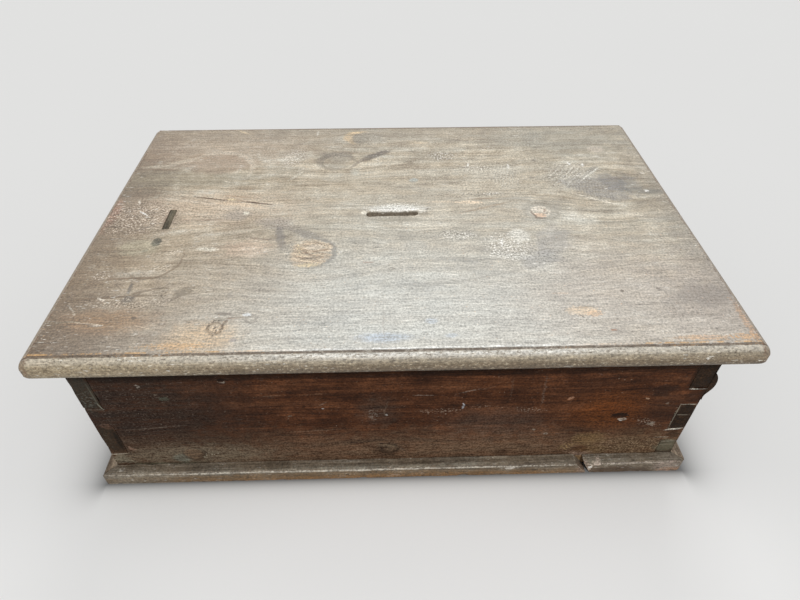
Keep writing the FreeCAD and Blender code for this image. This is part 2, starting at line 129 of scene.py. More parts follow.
def linear(colour: Rgb) -> tuple[float, float, float, float]:
    """Turns a colour given from 0 to 255 into linear light.

    Args:
        colour: Red, green and blue, from 0 to 255.

    Returns:
        The colour as red, green, blue and alpha, from 0 to 1.
    """
    parts = [c / 255.0 for c in colour]
    bright = [c / 12.92 if c <= 0.04045 else ((c + 0.055) / 1.055) ** 2.4 for c in parts]
    return bright[0], bright[1], bright[2], 1.0


# ---------------------------------------------------------------- material graphs
class Field:
    """A value, vector or colour in a material's graph, with arithmetic that adds nodes."""

    def __init__(self, graph: "Graph", socket: bpy.types.NodeSocket) -> None:
        """Keeps the graph and the socket that gives the value."""
        self.graph = graph
        self.socket = socket

    def __add__(self, other: "Feed") -> "Field":
        """The sum of two values."""
        return self.graph.math("ADD", self, other)

    def __sub__(self, other: "Feed") -> "Field":
        """One value less another."""
        return self.graph.math("SUBTRACT", self, other)

    def __rsub__(self, other: "Feed") -> "Field":
        """A number less this value."""
        return self.graph.math("SUBTRACT", other, self)

    def __mul__(self, other: "Feed") -> "Field":
        """The product of two values."""
        return self.graph.math("MULTIPLY", self, other)


Feed = Union[Field, float, tuple]


class Graph:
    """The nodes of one material, made by short calls."""

    def __init__(self, name: str) -> None:
        """Starts an empty material with a Principled shader.

        Args:
            name: The material's name.
        """
        self.material = bpy.data.materials.new(name)
        self.material.use_nodes = True
        self.tree = self.material.node_tree
        self.tree.nodes.clear()
        self.shader = self.tree.nodes.new("ShaderNodeBsdfPrincipled")
        output = self.tree.nodes.new("ShaderNodeOutputMaterial")
        self.tree.links.new(self.shader.outputs["BSDF"], output.inputs["Surface"])
        coordinates = self.tree.nodes.new("ShaderNodeTexCoord")
        self.place = Field(self, coordinates.outputs["Object"])
        self.normal = Field(self, coordinates.outputs["Normal"])

    def feed(self, socket: bpy.types.NodeSocket, value: Feed) -> None:
        """Links a field to a socket, or sets the socket to a number or colour.

        Args:
            socket: The socket.
            value: What goes into it.
        """
        if isinstance(value, Field):
            self.tree.links.new(value.socket, socket)
        else:
            socket.default_value = value

    def math(self, operation: str, *values: Feed) -> Field:
        """Adds a Math node.

        Args:
            operation: The node's operation.
            values: What it works on.

        Returns:
            Its result.
        """
        node = self.tree.nodes.new("ShaderNodeMath")
        node.operation = operation
        for socket, value in zip(node.inputs, values):
            self.feed(socket, value)
        return Field(self, node.outputs[0])

    def split(self, value: Feed) -> tuple[Field, Field, Field]:
        """Takes a vector apart.

        Args:
            value: The vector.

        Returns:
            Its three parts.
        """
        node = self.tree.nodes.new("ShaderNodeSeparateXYZ")
        self.feed(node.inputs[0], value)
        return Field(self, node.outputs[0]), Field(self, node.outputs[1]), Field(self, node.outputs[2])

    def join(self, x: Feed, y: Feed, z: Feed) -> Field:
        """Makes a vector.

        Args:
            x: Its first part.
            y: Its second part.
            z: Its third part.

        Returns:
            The vector.
        """
        node = self.tree.nodes.new("ShaderNodeCombineXYZ")
        for socket, value in zip(node.inputs, (x, y, z)):
            self.feed(socket, value)
        return Field(self, node.outputs[0])

    def ball(self, value: Feed, centre: tuple, turn: float, size: tuple, reach: float = 1.8) -> Field:
        """How near a place lies to a centre: 1 there, falling evenly to 0 at some times an ellipse's size.

        Args:
            value: The place.
            centre: The ellipse's middle.
            turn: Its turn about the third axis, in degrees.
            size: Its half size along each axis.
            reach: How many times its size the fall takes.

        Returns:
            The nearness, 1 less the distance over the reach.
        """
        mapping = self.tree.nodes.new("ShaderNodeMapping")
        mapping.vector_type = "TEXTURE"
        self.feed(mapping.inputs["Vector"], value)
        mapping.inputs["Location"].default_value = centre
        mapping.inputs["Rotation"].default_value = (0.0, 0.0, math.radians(turn))
        mapping.inputs["Scale"].default_value = tuple(part * reach for part in size)
        ball = self.tree.nodes.new("ShaderNodeTexGradient")
        ball.gradient_type = "SPHERICAL"
        self.tree.links.new(mapping.outputs[0], ball.inputs[0])
        return Field(self, ball.outputs["Fac"])

    def noise(self, value: Feed, scale: float = 1.0, detail: float = 2.0, rough: float = 0.5) -> Field:
        """Adds a Noise texture.

        Args:
            value: The place.
            scale: How many features it has in a unit.
            detail: How many finer layers are added.
            rough: How strong each finer layer is.

        Returns:
            Its value, from 0 to 1 with a mean of a half.
        """
        node = self.tree.nodes.new("ShaderNodeTexNoise")
        self.feed(node.inputs["Vector"], value)
        node.inputs["Scale"].default_value = scale
        node.inputs["Detail"].default_value = detail
        node.inputs["Roughness"].default_value = rough
        return Field(self, node.outputs["Fac"])

    def spread(self, value: Feed, low: float, high: float, start: float = 0.0, end: float = 1.0) -> Field:
        """Maps a range smoothly to another, and holds its ends outside it.

        Args:
            value: The value.
            low: Where the range starts. It may be the greater end.
            high: Where it stops.
            start: What its start becomes.
            end: What its stop becomes.

        Returns:
            The new value.
        """
        node = self.tree.nodes.new("ShaderNodeMapRange")
        node.interpolation_type = "SMOOTHSTEP"
        node.clamp = False
        for socket, entry in zip(node.inputs, (value, low, high, start, end)):
            self.feed(socket, entry)
        return Field(self, node.outputs[0])

    def strip(self, value: Feed, rise: Pair, fall: Pair) -> Field:
        """Picks out a range of values.

        Args:
            value: The value.
            rise: Where the range starts, and where it is full.
            fall: Where the range stops, and up to where it is full.

        Returns:
            1 in the range, falling smoothly to 0 outside it.
        """
        return self.spread(value, *rise) * self.spread(value, *fall)

    def mix(self, share: Feed, first: Feed, second: Feed, blend: str = "MIX") -> Field:
        """Blends two colours.

        Args:
            share: How much of the second one shows.
            first: The first colour.
            second: The second colour.
            blend: The way of blending.

        Returns:
            The blend.
        """
        node = self.tree.nodes.new("ShaderNodeMix")
        node.data_type = "RGBA"
        node.blend_type = blend
        sockets = [s for s in node.inputs if s.type == "RGBA"]
        self.feed(node.inputs["Factor"], share)
        self.feed(sockets[0], first)
        self.feed(sockets[1], second)
        return Field(self, next(s for s in node.outputs if s.type == "RGBA"))

    def ramp(self, value: Feed, stops: list[tuple[float, Rgb]]) -> Field:
        """Colours a value by a ramp.

        Args:
            value: The value, from 0 to 1.
            stops: The ramp's positions and colours.

        Returns:
            The colour.
        """
        node = self.tree.nodes.new("ShaderNodeValToRGB")
        self.feed(node.inputs[0], value)
        elements = node.color_ramp.elements
        while len(elements) < len(stops):
            elements.new(0.5)
        for element, (position, colour) in zip(elements, stops):
            element.position = position
            element.color = linear(colour)
        return Field(self, node.outputs["Color"])

    def attribute(self, name: str) -> Field:
        """Reads a mesh attribute.

        Args:
            name: The attribute's name.

        Returns:
            Its value.
        """
        node = self.tree.nodes.new("ShaderNodeAttribute")
        node.attribute_name = name
        return Field(self, node.outputs["Fac"])

    def relief(self, height: Feed, distance: float) -> None:
        """Shades the surface by a height.

        Args:
            height: The height.
            distance: What one unit of height stands for, in metres.
        """
        node = self.tree.nodes.new("ShaderNodeBump")
        node.inputs["Strength"].default_value = 1.0
        node.inputs["Distance"].default_value = distance
        self.feed(node.inputs["Height"], height)
        self.tree.links.new(node.outputs["Normal"], self.shader.inputs["Normal"])

    def finish(self, colour: Field, rough: Feed, specular: float,
               metallic: float = 0.0) -> bpy.types.Material:
        """Sets the shader's colour and gloss.

        Args:
            colour: The surface's colour.
            rough: Its roughness.
            specular: The strength of its sheen.
            metallic: How much of it is metal.

        Returns:
            The finished material.
        """
        self.feed(self.shader.inputs["Base Color"], colour)
        self.feed(self.shader.inputs["Roughness"], rough)
        self.shader.inputs["Specular IOR Level"].default_value = specular
        self.shader.inputs["Metallic"].default_value = metallic
        return self.material


@dataclass(frozen=True)
class Mark:
    """A stain, knot, dent or scratch at one spot of a face. Lengths are in mm.

    Attributes:
        at: Where its middle is on the face.
        size: Its half length and half width.
        colour: What the wood turns to there.
        strength: How much of the colour shows in the middle.
        turn: How far its length is turned, in degrees.
        soft: How wide its edge is, as a share of its size.
        ragged: How far its edge wanders, as a share of its size.
        bite: A second ellipse cut out of it, as its offset and half sizes.
        height: How far the surface stands up or sinks there.
        grainy: Whether the fibres of the wood break it up.
        hatch: The turn in degrees and the spacing of scratches that it is made of.
        specks: 1 where it is made of small specks, -1 where it lies between them, and 0 where it is whole.
    """

    at: Pair
    size: Pair
    colour: Rgb
    strength: float
    turn: float = 0.0
    soft: float = 0.6
    ragged: float = 0.5
    bite: Optional[tuple[float, float, float, float]] = None
    height: float = 0.0
    grainy: bool = True
    hatch: Optional[Pair] = None
    specks: int = 0


@dataclass(frozen=True)
class Knot:
    """A knot that the wood's lines run round. Lengths are in mm.

    Attributes:
        at: Where its middle is on the face.
        size: How far its push reaches along and across the grain.
        push: How strongly it pushes the lines aside, up to 1.
        rings: How many rings show in it, or 0 for none.
        core: The half sizes of the ringed part.
    """

    at: Pair
    size: Pair
    push: float = 0.8
    rings: float = 0.0
    core: Pair = (8.0, 8.0)


@dataclass(frozen=True)
class Grain:
    """The noises that a wood's marks are broken up by.

    Attributes:
        spot: The place on the face, frayed along the grain.
        coarse: A noise about zero with features of a centimetre.
        fine: A noise about zero with features of two millimetres.
        speck: A noise about zero with features under two millimetres.
        broken: How much of a mark the fibres let show.
    """

    spot: Field
    coarse: Field
    fine: Field
    speck: Field
    broken: Field


def frays(graph: Graph, spot: Field) -> tuple[Field, Field]:
    """Makes the noises that fray the edges of marks.

    Args:
        graph: The material's graph.
        spot: The place on the face.

    Returns:
        A coarse and a fine noise about zero.
    """
    coarse = (graph.noise(spot, COARSE_FRAYS, 3.0, 0.6) - 0.5) * FRAY_GAIN
    fine = (graph.noise(spot, FINE_FRAYS, 2.0, 0.6) - 0.5) * FRAY_GAIN
    return coarse, fine


# The colour of pale flecks, which on the lid are partly painted glints
FLECK: Rgb = (238, 235, 226)


@dataclass(frozen=True)
class WoodFinish:
    """Aged wood for one board or one kind of board. Lengths are in mm.

    Attributes:
        name: The material's name.
        along: The grain's direction.
        face: The axis that stands on the face which carries the marks.
        face_at: Where that face lies on its axis.
        shades: Dark, middle and light colours of the wood.
        end_shade: The colour of its end grain.
        worn: The colour of its worn arrises.
        wear: How much of the arrises is worn.
        band: The width of its growth bands.
        bands: How strongly the growth bands show.
        fibre: The width of its finest streaks.
        streaks: How strongly the fine streaks show.
        speckle: How strongly its fine speckle shows.
        flecks: How many pale flecks lie on it, from 0 to 1.
        tinting: How far its hue drifts.
        warm: The factors of its warmer hue.
        cool: The factors of its cooler hue.
        end_share: How far its end grain differs.
        rough: Its least and greatest roughness.
        specular: The strength of its sheen.
        bump: The depth of its relief.
        marks: Single marks on the face.
        knots: Knots in the face.
    """

    name: str
    along: Axis
    face: Axis
    face_at: float
    shades: tuple[Rgb, Rgb, Rgb]
    end_shade: Rgb
    worn: Rgb
    wear: float = 0.5
    band: float = 9.0
    bands: float = 0.5
    fibre: float = 1.1
    streaks: float = 0.5
    speckle: float = 0.5
    flecks: float = 0.3
    tinting: float = 0.4
    warm: tuple[float, float, float, float] = (1.06, 1.0, 0.9, 1.0)
    cool: tuple[float, float, float, float] = (0.94, 1.0, 1.04, 1.0)
    end_share: float = 0.85
    rough: Pair = (0.5, 0.75)
    specular: float = 0.3
    bump: float = 0.25
    marks: tuple[Mark, ...] = ()
    knots: tuple[Knot, ...] = ()

    def on_face(self, graph: Graph) -> Field:
        """Turns the place to the board's own directions.

        Args:
            graph: The material's graph.

        Returns:
            The place along the grain, across it on the face, and out of the face.
        """
        parts = graph.split(graph.place)
        across = next(a for a in Axis if a not in (self.along, self.face))
        if self.face is self.along:
            others = [a for a in Axis if a is not self.face]
            return graph.join(parts[others[0].value], parts[others[1].value], parts[self.face.value])
        return graph.join(parts[self.along.value], parts[across.value], parts[self.face.value])

    def flow(self, graph: Graph, place: Field) -> Field:
        """Makes the lines of the wood wander and run round the knots.

        Args:
            graph: The material's graph.
            place: The place in the board's own directions.

        Returns:
            The place, pushed aside.
        """
        u, v, w = graph.split(place)
        for along, across, detail, reach in WANDERS:
            waves = graph.join(u * along, v * across, w * across)
            v = v + (graph.noise(waves, 1.0, detail) - 0.5) * reach
        for knot in self.knots:
            size = (knot.size[0] * MM, knot.size[1] * MM, KNOT_DEPTH)
            centre = (knot.at[0] * MM, knot.at[1] * MM, self.face_at * MM)
            near = graph.spread(graph.ball(place, centre, 0.0, size, 2.4), 0.08, 1.0)
            v = v - (v - knot.at[1] * MM) * near * knot.push
        return graph.join(u, v, w)

    def ellipse(self, graph: Graph, grain: Grain, at: tuple, mark: Mark, size: tuple, edges: Pair,
                strength: float) -> Field:
        """How far inside a ragged ellipse each place is.

        Args:
            graph: The material's graph.
            grain: The noises that fray its edge.
            at: The ellipse's middle.
            mark: The mark that it belongs to.
            size: Its half sizes.
            edges: Where its edge starts and ends, in times its size.
            strength: The value in its middle.

        Returns:
            The value, from 0 outside it to the strength.
        """
        reach = 1.8
        fray = grain.coarse if min(mark.size) > BROAD_MARK else grain.fine
        near = graph.ball(grain.spot, at, mark.turn, size, reach)
        near = graph.math("MULTIPLY_ADD", fray, -mark.ragged / reach, near)
        return graph.spread(near, 1.0 - edges[0] / reach, 1.0 - edges[1] / reach, 0.0, strength)

    def mark_share(self, graph: Graph, grain: Grain, mark: Mark) -> Field:
        """How much of a mark shows at each place, from 0 to 1.

        Args:
            graph: The material's graph.
            grain: The noises that fray and break the mark.
            mark: The mark.

        Returns:
            The share.
        """
        centre = (mark.at[0] * MM, mark.at[1] * MM, self.face_at * MM)
        size = (mark.size[0] * MM, mark.size[1] * MM, MARK_DEPTH)
        edges = (1.0 + mark.soft / 2.0, 1.0 - mark.soft / 2.0)
        share = self.ellipse(graph, grain, centre, mark, size, edges, mark.strength)
        if mark.bite is not None:
            dx, dy, rx, ry = mark.bite
            cut_centre = (centre[0] + dx * MM, centre[1] + dy * MM, centre[2])
            cut_size = (rx * MM, ry * MM, BITE_DEPTH)
            cut_edges = (1.0 + mark.soft / 3.0, 1.0 - mark.soft / 3.0)
            share = share * (1.0 - self.ellipse(graph, grain, cut_centre, mark, cut_size, cut_edges, 1.0))
        if mark.hatch is not None:
            turn, spacing = math.radians(mark.hatch[0]), 2.0 * math.pi / (mark.hatch[1] * MM)
            x, y, _ = graph.split(grain.spot)
            across = x * (-math.sin(turn) * spacing) + y * (math.cos(turn) * spacing) + grain.coarse * 5.0
            share = share * graph.spread(graph.math("SINE", across) + grain.fine * 1.4, -0.5, 0.9, 0.15, 1.0)
        if mark.specks:
            share = share * graph.spread(grain.speck, 0.03 * mark.specks, 0.12 * mark.specks)
        elif mark.grainy:
            share = share * grain.broken
        return share

    def build(self) -> bpy.types.Material:
        """Makes the material.

        Returns:
            The material, its colour, roughness and relief all worked out from the place.
        """
        graph = Graph(self.name)
        place = self.on_face(graph)
        flow = self.flow(graph, place)
        u, v, w = graph.split(flow)
        fine, wide = 1.0 / (self.fibre * MM), 1.0 / (self.band * MM)
        fibre = graph.noise(graph.join(u * FIBRES, v * fine, w * fine), 1.0, 2.5, 0.7) - 0.5
        broad = fine * 0.4
        streak = graph.noise(graph.join(u * STREAKS, v * broad, w * broad), 1.0, 3.0, 0.6) - 0.5
        bands = graph.noise(graph.join(u * GROWTH_BANDS, v * wide, w * wide), 1.0, 3.0, 0.6) - 0.5
        speck = graph.noise(place, SPECKS, 2.5, 0.75) - 0.5
        blotch = graph.noise(place, BLOTCHES, 4.0, 0.62) - 0.5
        along, beside, deep = graph.split(place)
        spot = graph.join(along + streak * 0.007, beside + streak * 0.0014, deep)
        coarse, fray = frays(graph, spot)
        tone = bands * (0.8 * self.bands) + blotch * 0.5 + streak * 0.38 + coarse * 0.1
        dark, middle, light = self.shades
        colour = graph.ramp(tone + 0.5, [(0.34, dark), (0.5, middle), (0.66, light)])
        drift = graph.join(u * HUE_DRIFT[0], v * HUE_DRIFT[1], deep * HUE_DRIFT[1])
        hue = graph.noise(drift, 1.0, 2.5)
        tint = graph.mix(graph.spread(hue, 0.38, 0.62), self.warm, self.cool)
        colour = graph.mix(self.tinting, colour, tint, "MULTIPLY")
        height = fibre * 0.9 + streak * 0.6 + speck * 0.8
        broken = graph.spread(fibre + speck * 0.7, -0.14, 0.08, 0.45, 1.0)
        grain = Grain(spot, coarse, fray, speck, broken)
        for mark in self.marks:
            share = self.mark_share(graph, grain, mark)
            colour = graph.mix(share, colour, linear(mark.colour))
            if mark.height:
                height = graph.math("MULTIPLY_ADD", share, mark.height / self.bump, height)
        for knot in self.knots:
            if knot.rings:
                colour, height = self.ring(graph, grain, knot, colour, height)
        colour = self.rim(graph, colour, grain)
        # pale flecks, on the lid partly painted glints
        if self.flecks:
            dots = graph.join(u * PALE_FLECKS[0], v * PALE_FLECKS[1], w * PALE_FLECKS[1])
            specks = graph.noise(dots, 1.0, 2.0, 0.65)
            fleck = graph.spread(specks, 0.63, 0.7) * graph.spread(blotch, -0.1, 0.14, 0.15, 1.0)
            fleck = fleck * self.flecks
            colour = graph.mix(fleck, colour, linear(FLECK))
            height = height + fleck * 0.4
        gain = fibre * (2.4 * self.streaks) + streak * (1.1 * self.streaks)
        gain = gain + speck * (4.0 * self.speckle) + 1.0
        colour = graph.mix(1.0, colour, gain, "MULTIPLY")
        worn = graph.attribute("arris") * graph.spread(blotch + fray * 0.2, 0.22 - self.wear * 0.42, 0.25)
        colour = graph.mix(worn * 0.8, colour, linear(self.worn))
        parts = graph.split(graph.normal)
        end = graph.spread(graph.math("ABSOLUTE", parts[self.along.value]), 0.6, 0.9)
        end_colour = graph.mix(0.45, colour, linear(self.end_shade))
        end_colour = graph.mix(0.7, end_colour, gain, "MULTIPLY")
        colour = graph.mix(end * self.end_share, colour, end_colour)
        colour = self.over(graph, colour)
        graph.relief(height, self.bump * MM)
        low, high = self.rough
        rough = graph.spread(streak + blotch * 0.5, -0.15, 0.2, low, high)
        return graph.finish(colour, rough, self.specular)

    def rim(self, graph: Graph, colour: Field, grain: Grain) -> Field:
        """Lays extra colour over parts of the board. Plain boards have none."""
        return colour

    def over(self, graph: Graph, colour: Field) -> Field:
        """Lays marks over the finished colour. Plain boards have none."""
        return colour

    def ring(self, graph: Graph, grain: Grain, knot: Knot, colour: Field,
             height: Field) -> tuple[Field, Field]:
        """Draws a knot's broken rings over the wood.

        Args:
            graph: The material's graph.
            grain: The noises that break them.
            knot: The knot.
            colour: The wood's colour.
            height: The wood's height.

        Returns:
            The new colour and height.
        """
        centre = (knot.at[0] * MM, knot.at[1] * MM, self.face_at * MM)
        size = (knot.core[0] * MM, knot.core[1] * MM, RING_DEPTH)
        near = graph.math("MULTIPLY_ADD", grain.coarse, 0.22, graph.ball(grain.spot, centre, 8.0, size, 1.4))
        inside = graph.strip(near, (0.2, 0.42), (0.98, 0.8))
        wave = graph.math("SINE", near * (knot.rings * 2.8 * math.pi))
        line = graph.spread(wave + grain.fine * 0.7, 0.2, 1.1) * inside
        line = line * graph.spread(grain.coarse, -0.3, 0.3)
        return graph.mix(line * 0.35, colour, linear(self.shades[0]), "MULTIPLY"), height - line * 0.5


# The colours of the lid's moulding from its lower edge up, painted shading that darkens it downwards and
# lightens its top, and of the places on and beside it, among them painted highlights along it and painted
# shade in its quirk
NOSE_PAINTED_SHADING = [(0.0, (70, 57, 42)), (0.3, (96, 81, 63)), (0.62, (114, 99, 78)), (0.86, (144, 132, 112)),
              (1.0, (190, 184, 172))]
NOSE_LEFT: Rgb = (176, 160, 130)
NOSE_ENDS: Rgb = (112, 92, 73)
NOSE_HIGHLIGHT: Rgb = (232, 232, 228)
PALE_PORES: Rgb = (206, 193, 168)
DARK_PORES: Rgb = (84, 68, 50)
ARRIS_SIDES: Rgb = (206, 166, 116)
ARRIS_HIGHLIGHT: Rgb = (240, 240, 236)
QUIRK_PAINTED_SHADE: Rgb = (84, 67, 52)
END_LINE: Rgb = (112, 84, 66)

# Where strips along the moulding rise and fall, in metres outwards from the quirk
ARRIS_STRIP = ((-0.0042, -0.003), (-0.0012, -0.0022))
HIGHLIGHT_STRIP = ((0.0006, 0.002), (0.006, 0.0028))
QUIRK_STRIP = ((-0.0018, -0.001), (0.001, 0.0002))
END_STRIP = ((-0.0022, -0.0008), (0.0014, 0.0002))

# The half sizes, in metres, of the places round the slot and the mortise whose walls get painted shade
SLOT_WALLS = (0.036, 0.0085, 1.0)
MORTISE_WALLS = (0.0062, 0.022, 1.0)


@dataclass(frozen=True)
class LidFinish(WoodFinish):
    """The lid's wood: darker and speckled on its moulded rim, with painted shading and highlights there, and
    with painted shade inside its openings.

    Attributes:
        hole_painted_shade: The painted shade on the openings' walls, darkest deepest down.
        sheltered: The factors of the colour on its underside.
    """

    hole_painted_shade: Rgb = (136, 124, 108)
    sheltered: tuple[float, float, float, float] = (0.6, 0.46, 0.33, 1.0)

    def rim(self, graph: Graph, colour: Field, grain: Grain) -> Field:
        """Colours the moulding outside the quirk, the quirk, the openings' walls and the underside, with
        painted shading, highlights and shade among them.

        Args:
            graph: The material's graph.
            colour: The wood's colour.
            grain: The noises that break the colours up.

        Returns:
            The new colour.
        """
        x, y, z = graph.split(graph.place)
        out_end = graph.math("ABSOLUTE", x) - (LID_END - QUIRK_INSET) * MM
        out_front = graph.math("MULTIPLY_ADD", y, -1.0, -(LID_SIDE - QUIRK_INSET) * MM)
        out = graph.math("MAXIMUM", out_front, out_end)
        dots = graph.join(x * NOSE_PORES[0], y * NOSE_PORES[1], z * NOSE_PORES[1])
        pores = graph.noise(dots, 1.0, 2.5, 0.75) - 0.5
        # painted shading: the moulding darker towards its lower edge and lighter at its top
        up = graph.spread(z, (LID_UNDERSIDE + 0.5) * MM, (LID_TOP - 0.8) * MM)
        shade = graph.ramp(up, NOSE_PAINTED_SHADING)
        shade = graph.mix(graph.spread(x, -0.1, -0.3, 0.0, 0.35), shade, linear(NOSE_LEFT))
        shade = graph.mix(graph.spread(pores, 0.05, 0.18) * 0.5, shade, linear(PALE_PORES))
        shade = graph.mix(graph.spread(pores, -0.03, -0.16) * 0.7, shade, linear(DARK_PORES))
        ends = graph.spread(out_end, -0.0006, 0.0006)
        shade = graph.mix(ends * 0.6, shade, linear(NOSE_ENDS))
        colour = graph.mix(graph.spread(out, -0.0012, 0.0002) * 0.92, colour, shade)
        middle = graph.spread(graph.math("ABSOLUTE", x - 0.03), 0.21, 0.1)
        patchy = graph.spread(grain.coarse + grain.fine * 0.7, -0.2, 0.3)
        # the quirk's arris: worn orange at the sides, with a painted white highlight in its middle
        arris = graph.strip(out_front, *ARRIS_STRIP)
        arris_wear_and_highlight = graph.mix(middle, linear(ARRIS_SIDES), linear(ARRIS_HIGHLIGHT))
        colour = graph.mix(arris * (patchy * 0.8 + middle * 0.25), colour, arris_wear_and_highlight)
        # painted highlight along the middle of the moulding, just below the quirk
        highlight = graph.strip(out_front, *HIGHLIGHT_STRIP) * middle
        colour = graph.mix(highlight * graph.spread(pores, -0.1, 0.12) * 0.6, colour, linear(NOSE_HIGHLIGHT))
        # painted shade in the quirk's groove
        groove = graph.strip(out_front, *QUIRK_STRIP)
        groove = groove * graph.spread(grain.coarse + grain.fine, -0.9, 0.1, 0.4, 0.8)
        colour = graph.mix(groove, colour, linear(QUIRK_PAINTED_SHADE))
        end_line = graph.strip(out_end, *END_STRIP)
        colour = graph.mix(end_line * patchy * 0.7, colour, linear(END_LINE))
        slot_at, cut_at = [(x_mm * MM, y_mm * MM, LID_TOP * MM) for x_mm, y_mm in (SLOT, MORTISE)]
        slot = graph.ball(graph.place, slot_at, 0.0, SLOT_WALLS, 1.6)
        cut = graph.ball(graph.place, cut_at, 0.0, MORTISE_WALLS, 1.6)
        hole = graph.math("MAXIMUM", graph.spread(slot, 0.3, 0.4), graph.spread(cut, 0.3, 0.4))
        # painted shade on the openings' walls, darker deeper down
        deep = graph.spread(z, (LID_TOP - 0.6) * MM, (LID_TOP - 2.6) * MM)
        colour = graph.mix(hole * deep * 0.93, colour, linear(self.hole_painted_shade))
        under = graph.spread(graph.split(graph.normal)[2], -0.5, -0.9)
        return graph.mix(under * 0.85, colour, self.sheltered, "MULTIPLY")


@dataclass(frozen=True)
class IronFinish:
    """Rusty forged iron.

    Attributes:
        name: The material's name.
        shades: Dark, middle and light colours of its skin.
        rust: The colour of its rust.
        skin_scale: How many features its skin has in a metre.
        spot_scale: How many spots of rust it has in a metre.
        bump: The depth of its relief, in metres.
    """

    name: str
    shades: tuple[Rgb, Rgb, Rgb] = ((26, 22, 19), (48, 40, 34), (78, 68, 60))
    rust: Rgb = (92, 52, 30)
    skin_scale: float = 260.0
    spot_scale: float = 620.0
    bump: float = 0.00035

    def build(self) -> bpy.types.Material:
        """Makes the material.

        Returns:
            The material.
        """
        graph = Graph(self.name)
        skin = graph.noise(graph.place, self.skin_scale, 5.0, 0.65)
        spots = graph.noise(graph.place, self.spot_scale, 3.0, 0.6)
        dark, middle, light = self.shades
        colour = graph.ramp(skin, [(0.36, dark), (0.5, middle), (0.68, light)])
        rusty = graph.spread(spots, 0.46, 0.62)
        colour = graph.mix(rusty * 0.75, colour, linear(self.rust))
        graph.relief(skin + spots * 0.5, self.bump)
        return graph.finish(colour, graph.spread(skin, 0.3, 0.7, 0.45, 0.8), 0.4, 0.55)


# ---------------------------------------------------------------- worn boards
Keep = Callable[[Vector, float], bool]


def long_edges(middle: Vector, length: float) -> bool:
    """Keeps the edges that are not those of nail holes."""
    return length > HOLE_EDGE


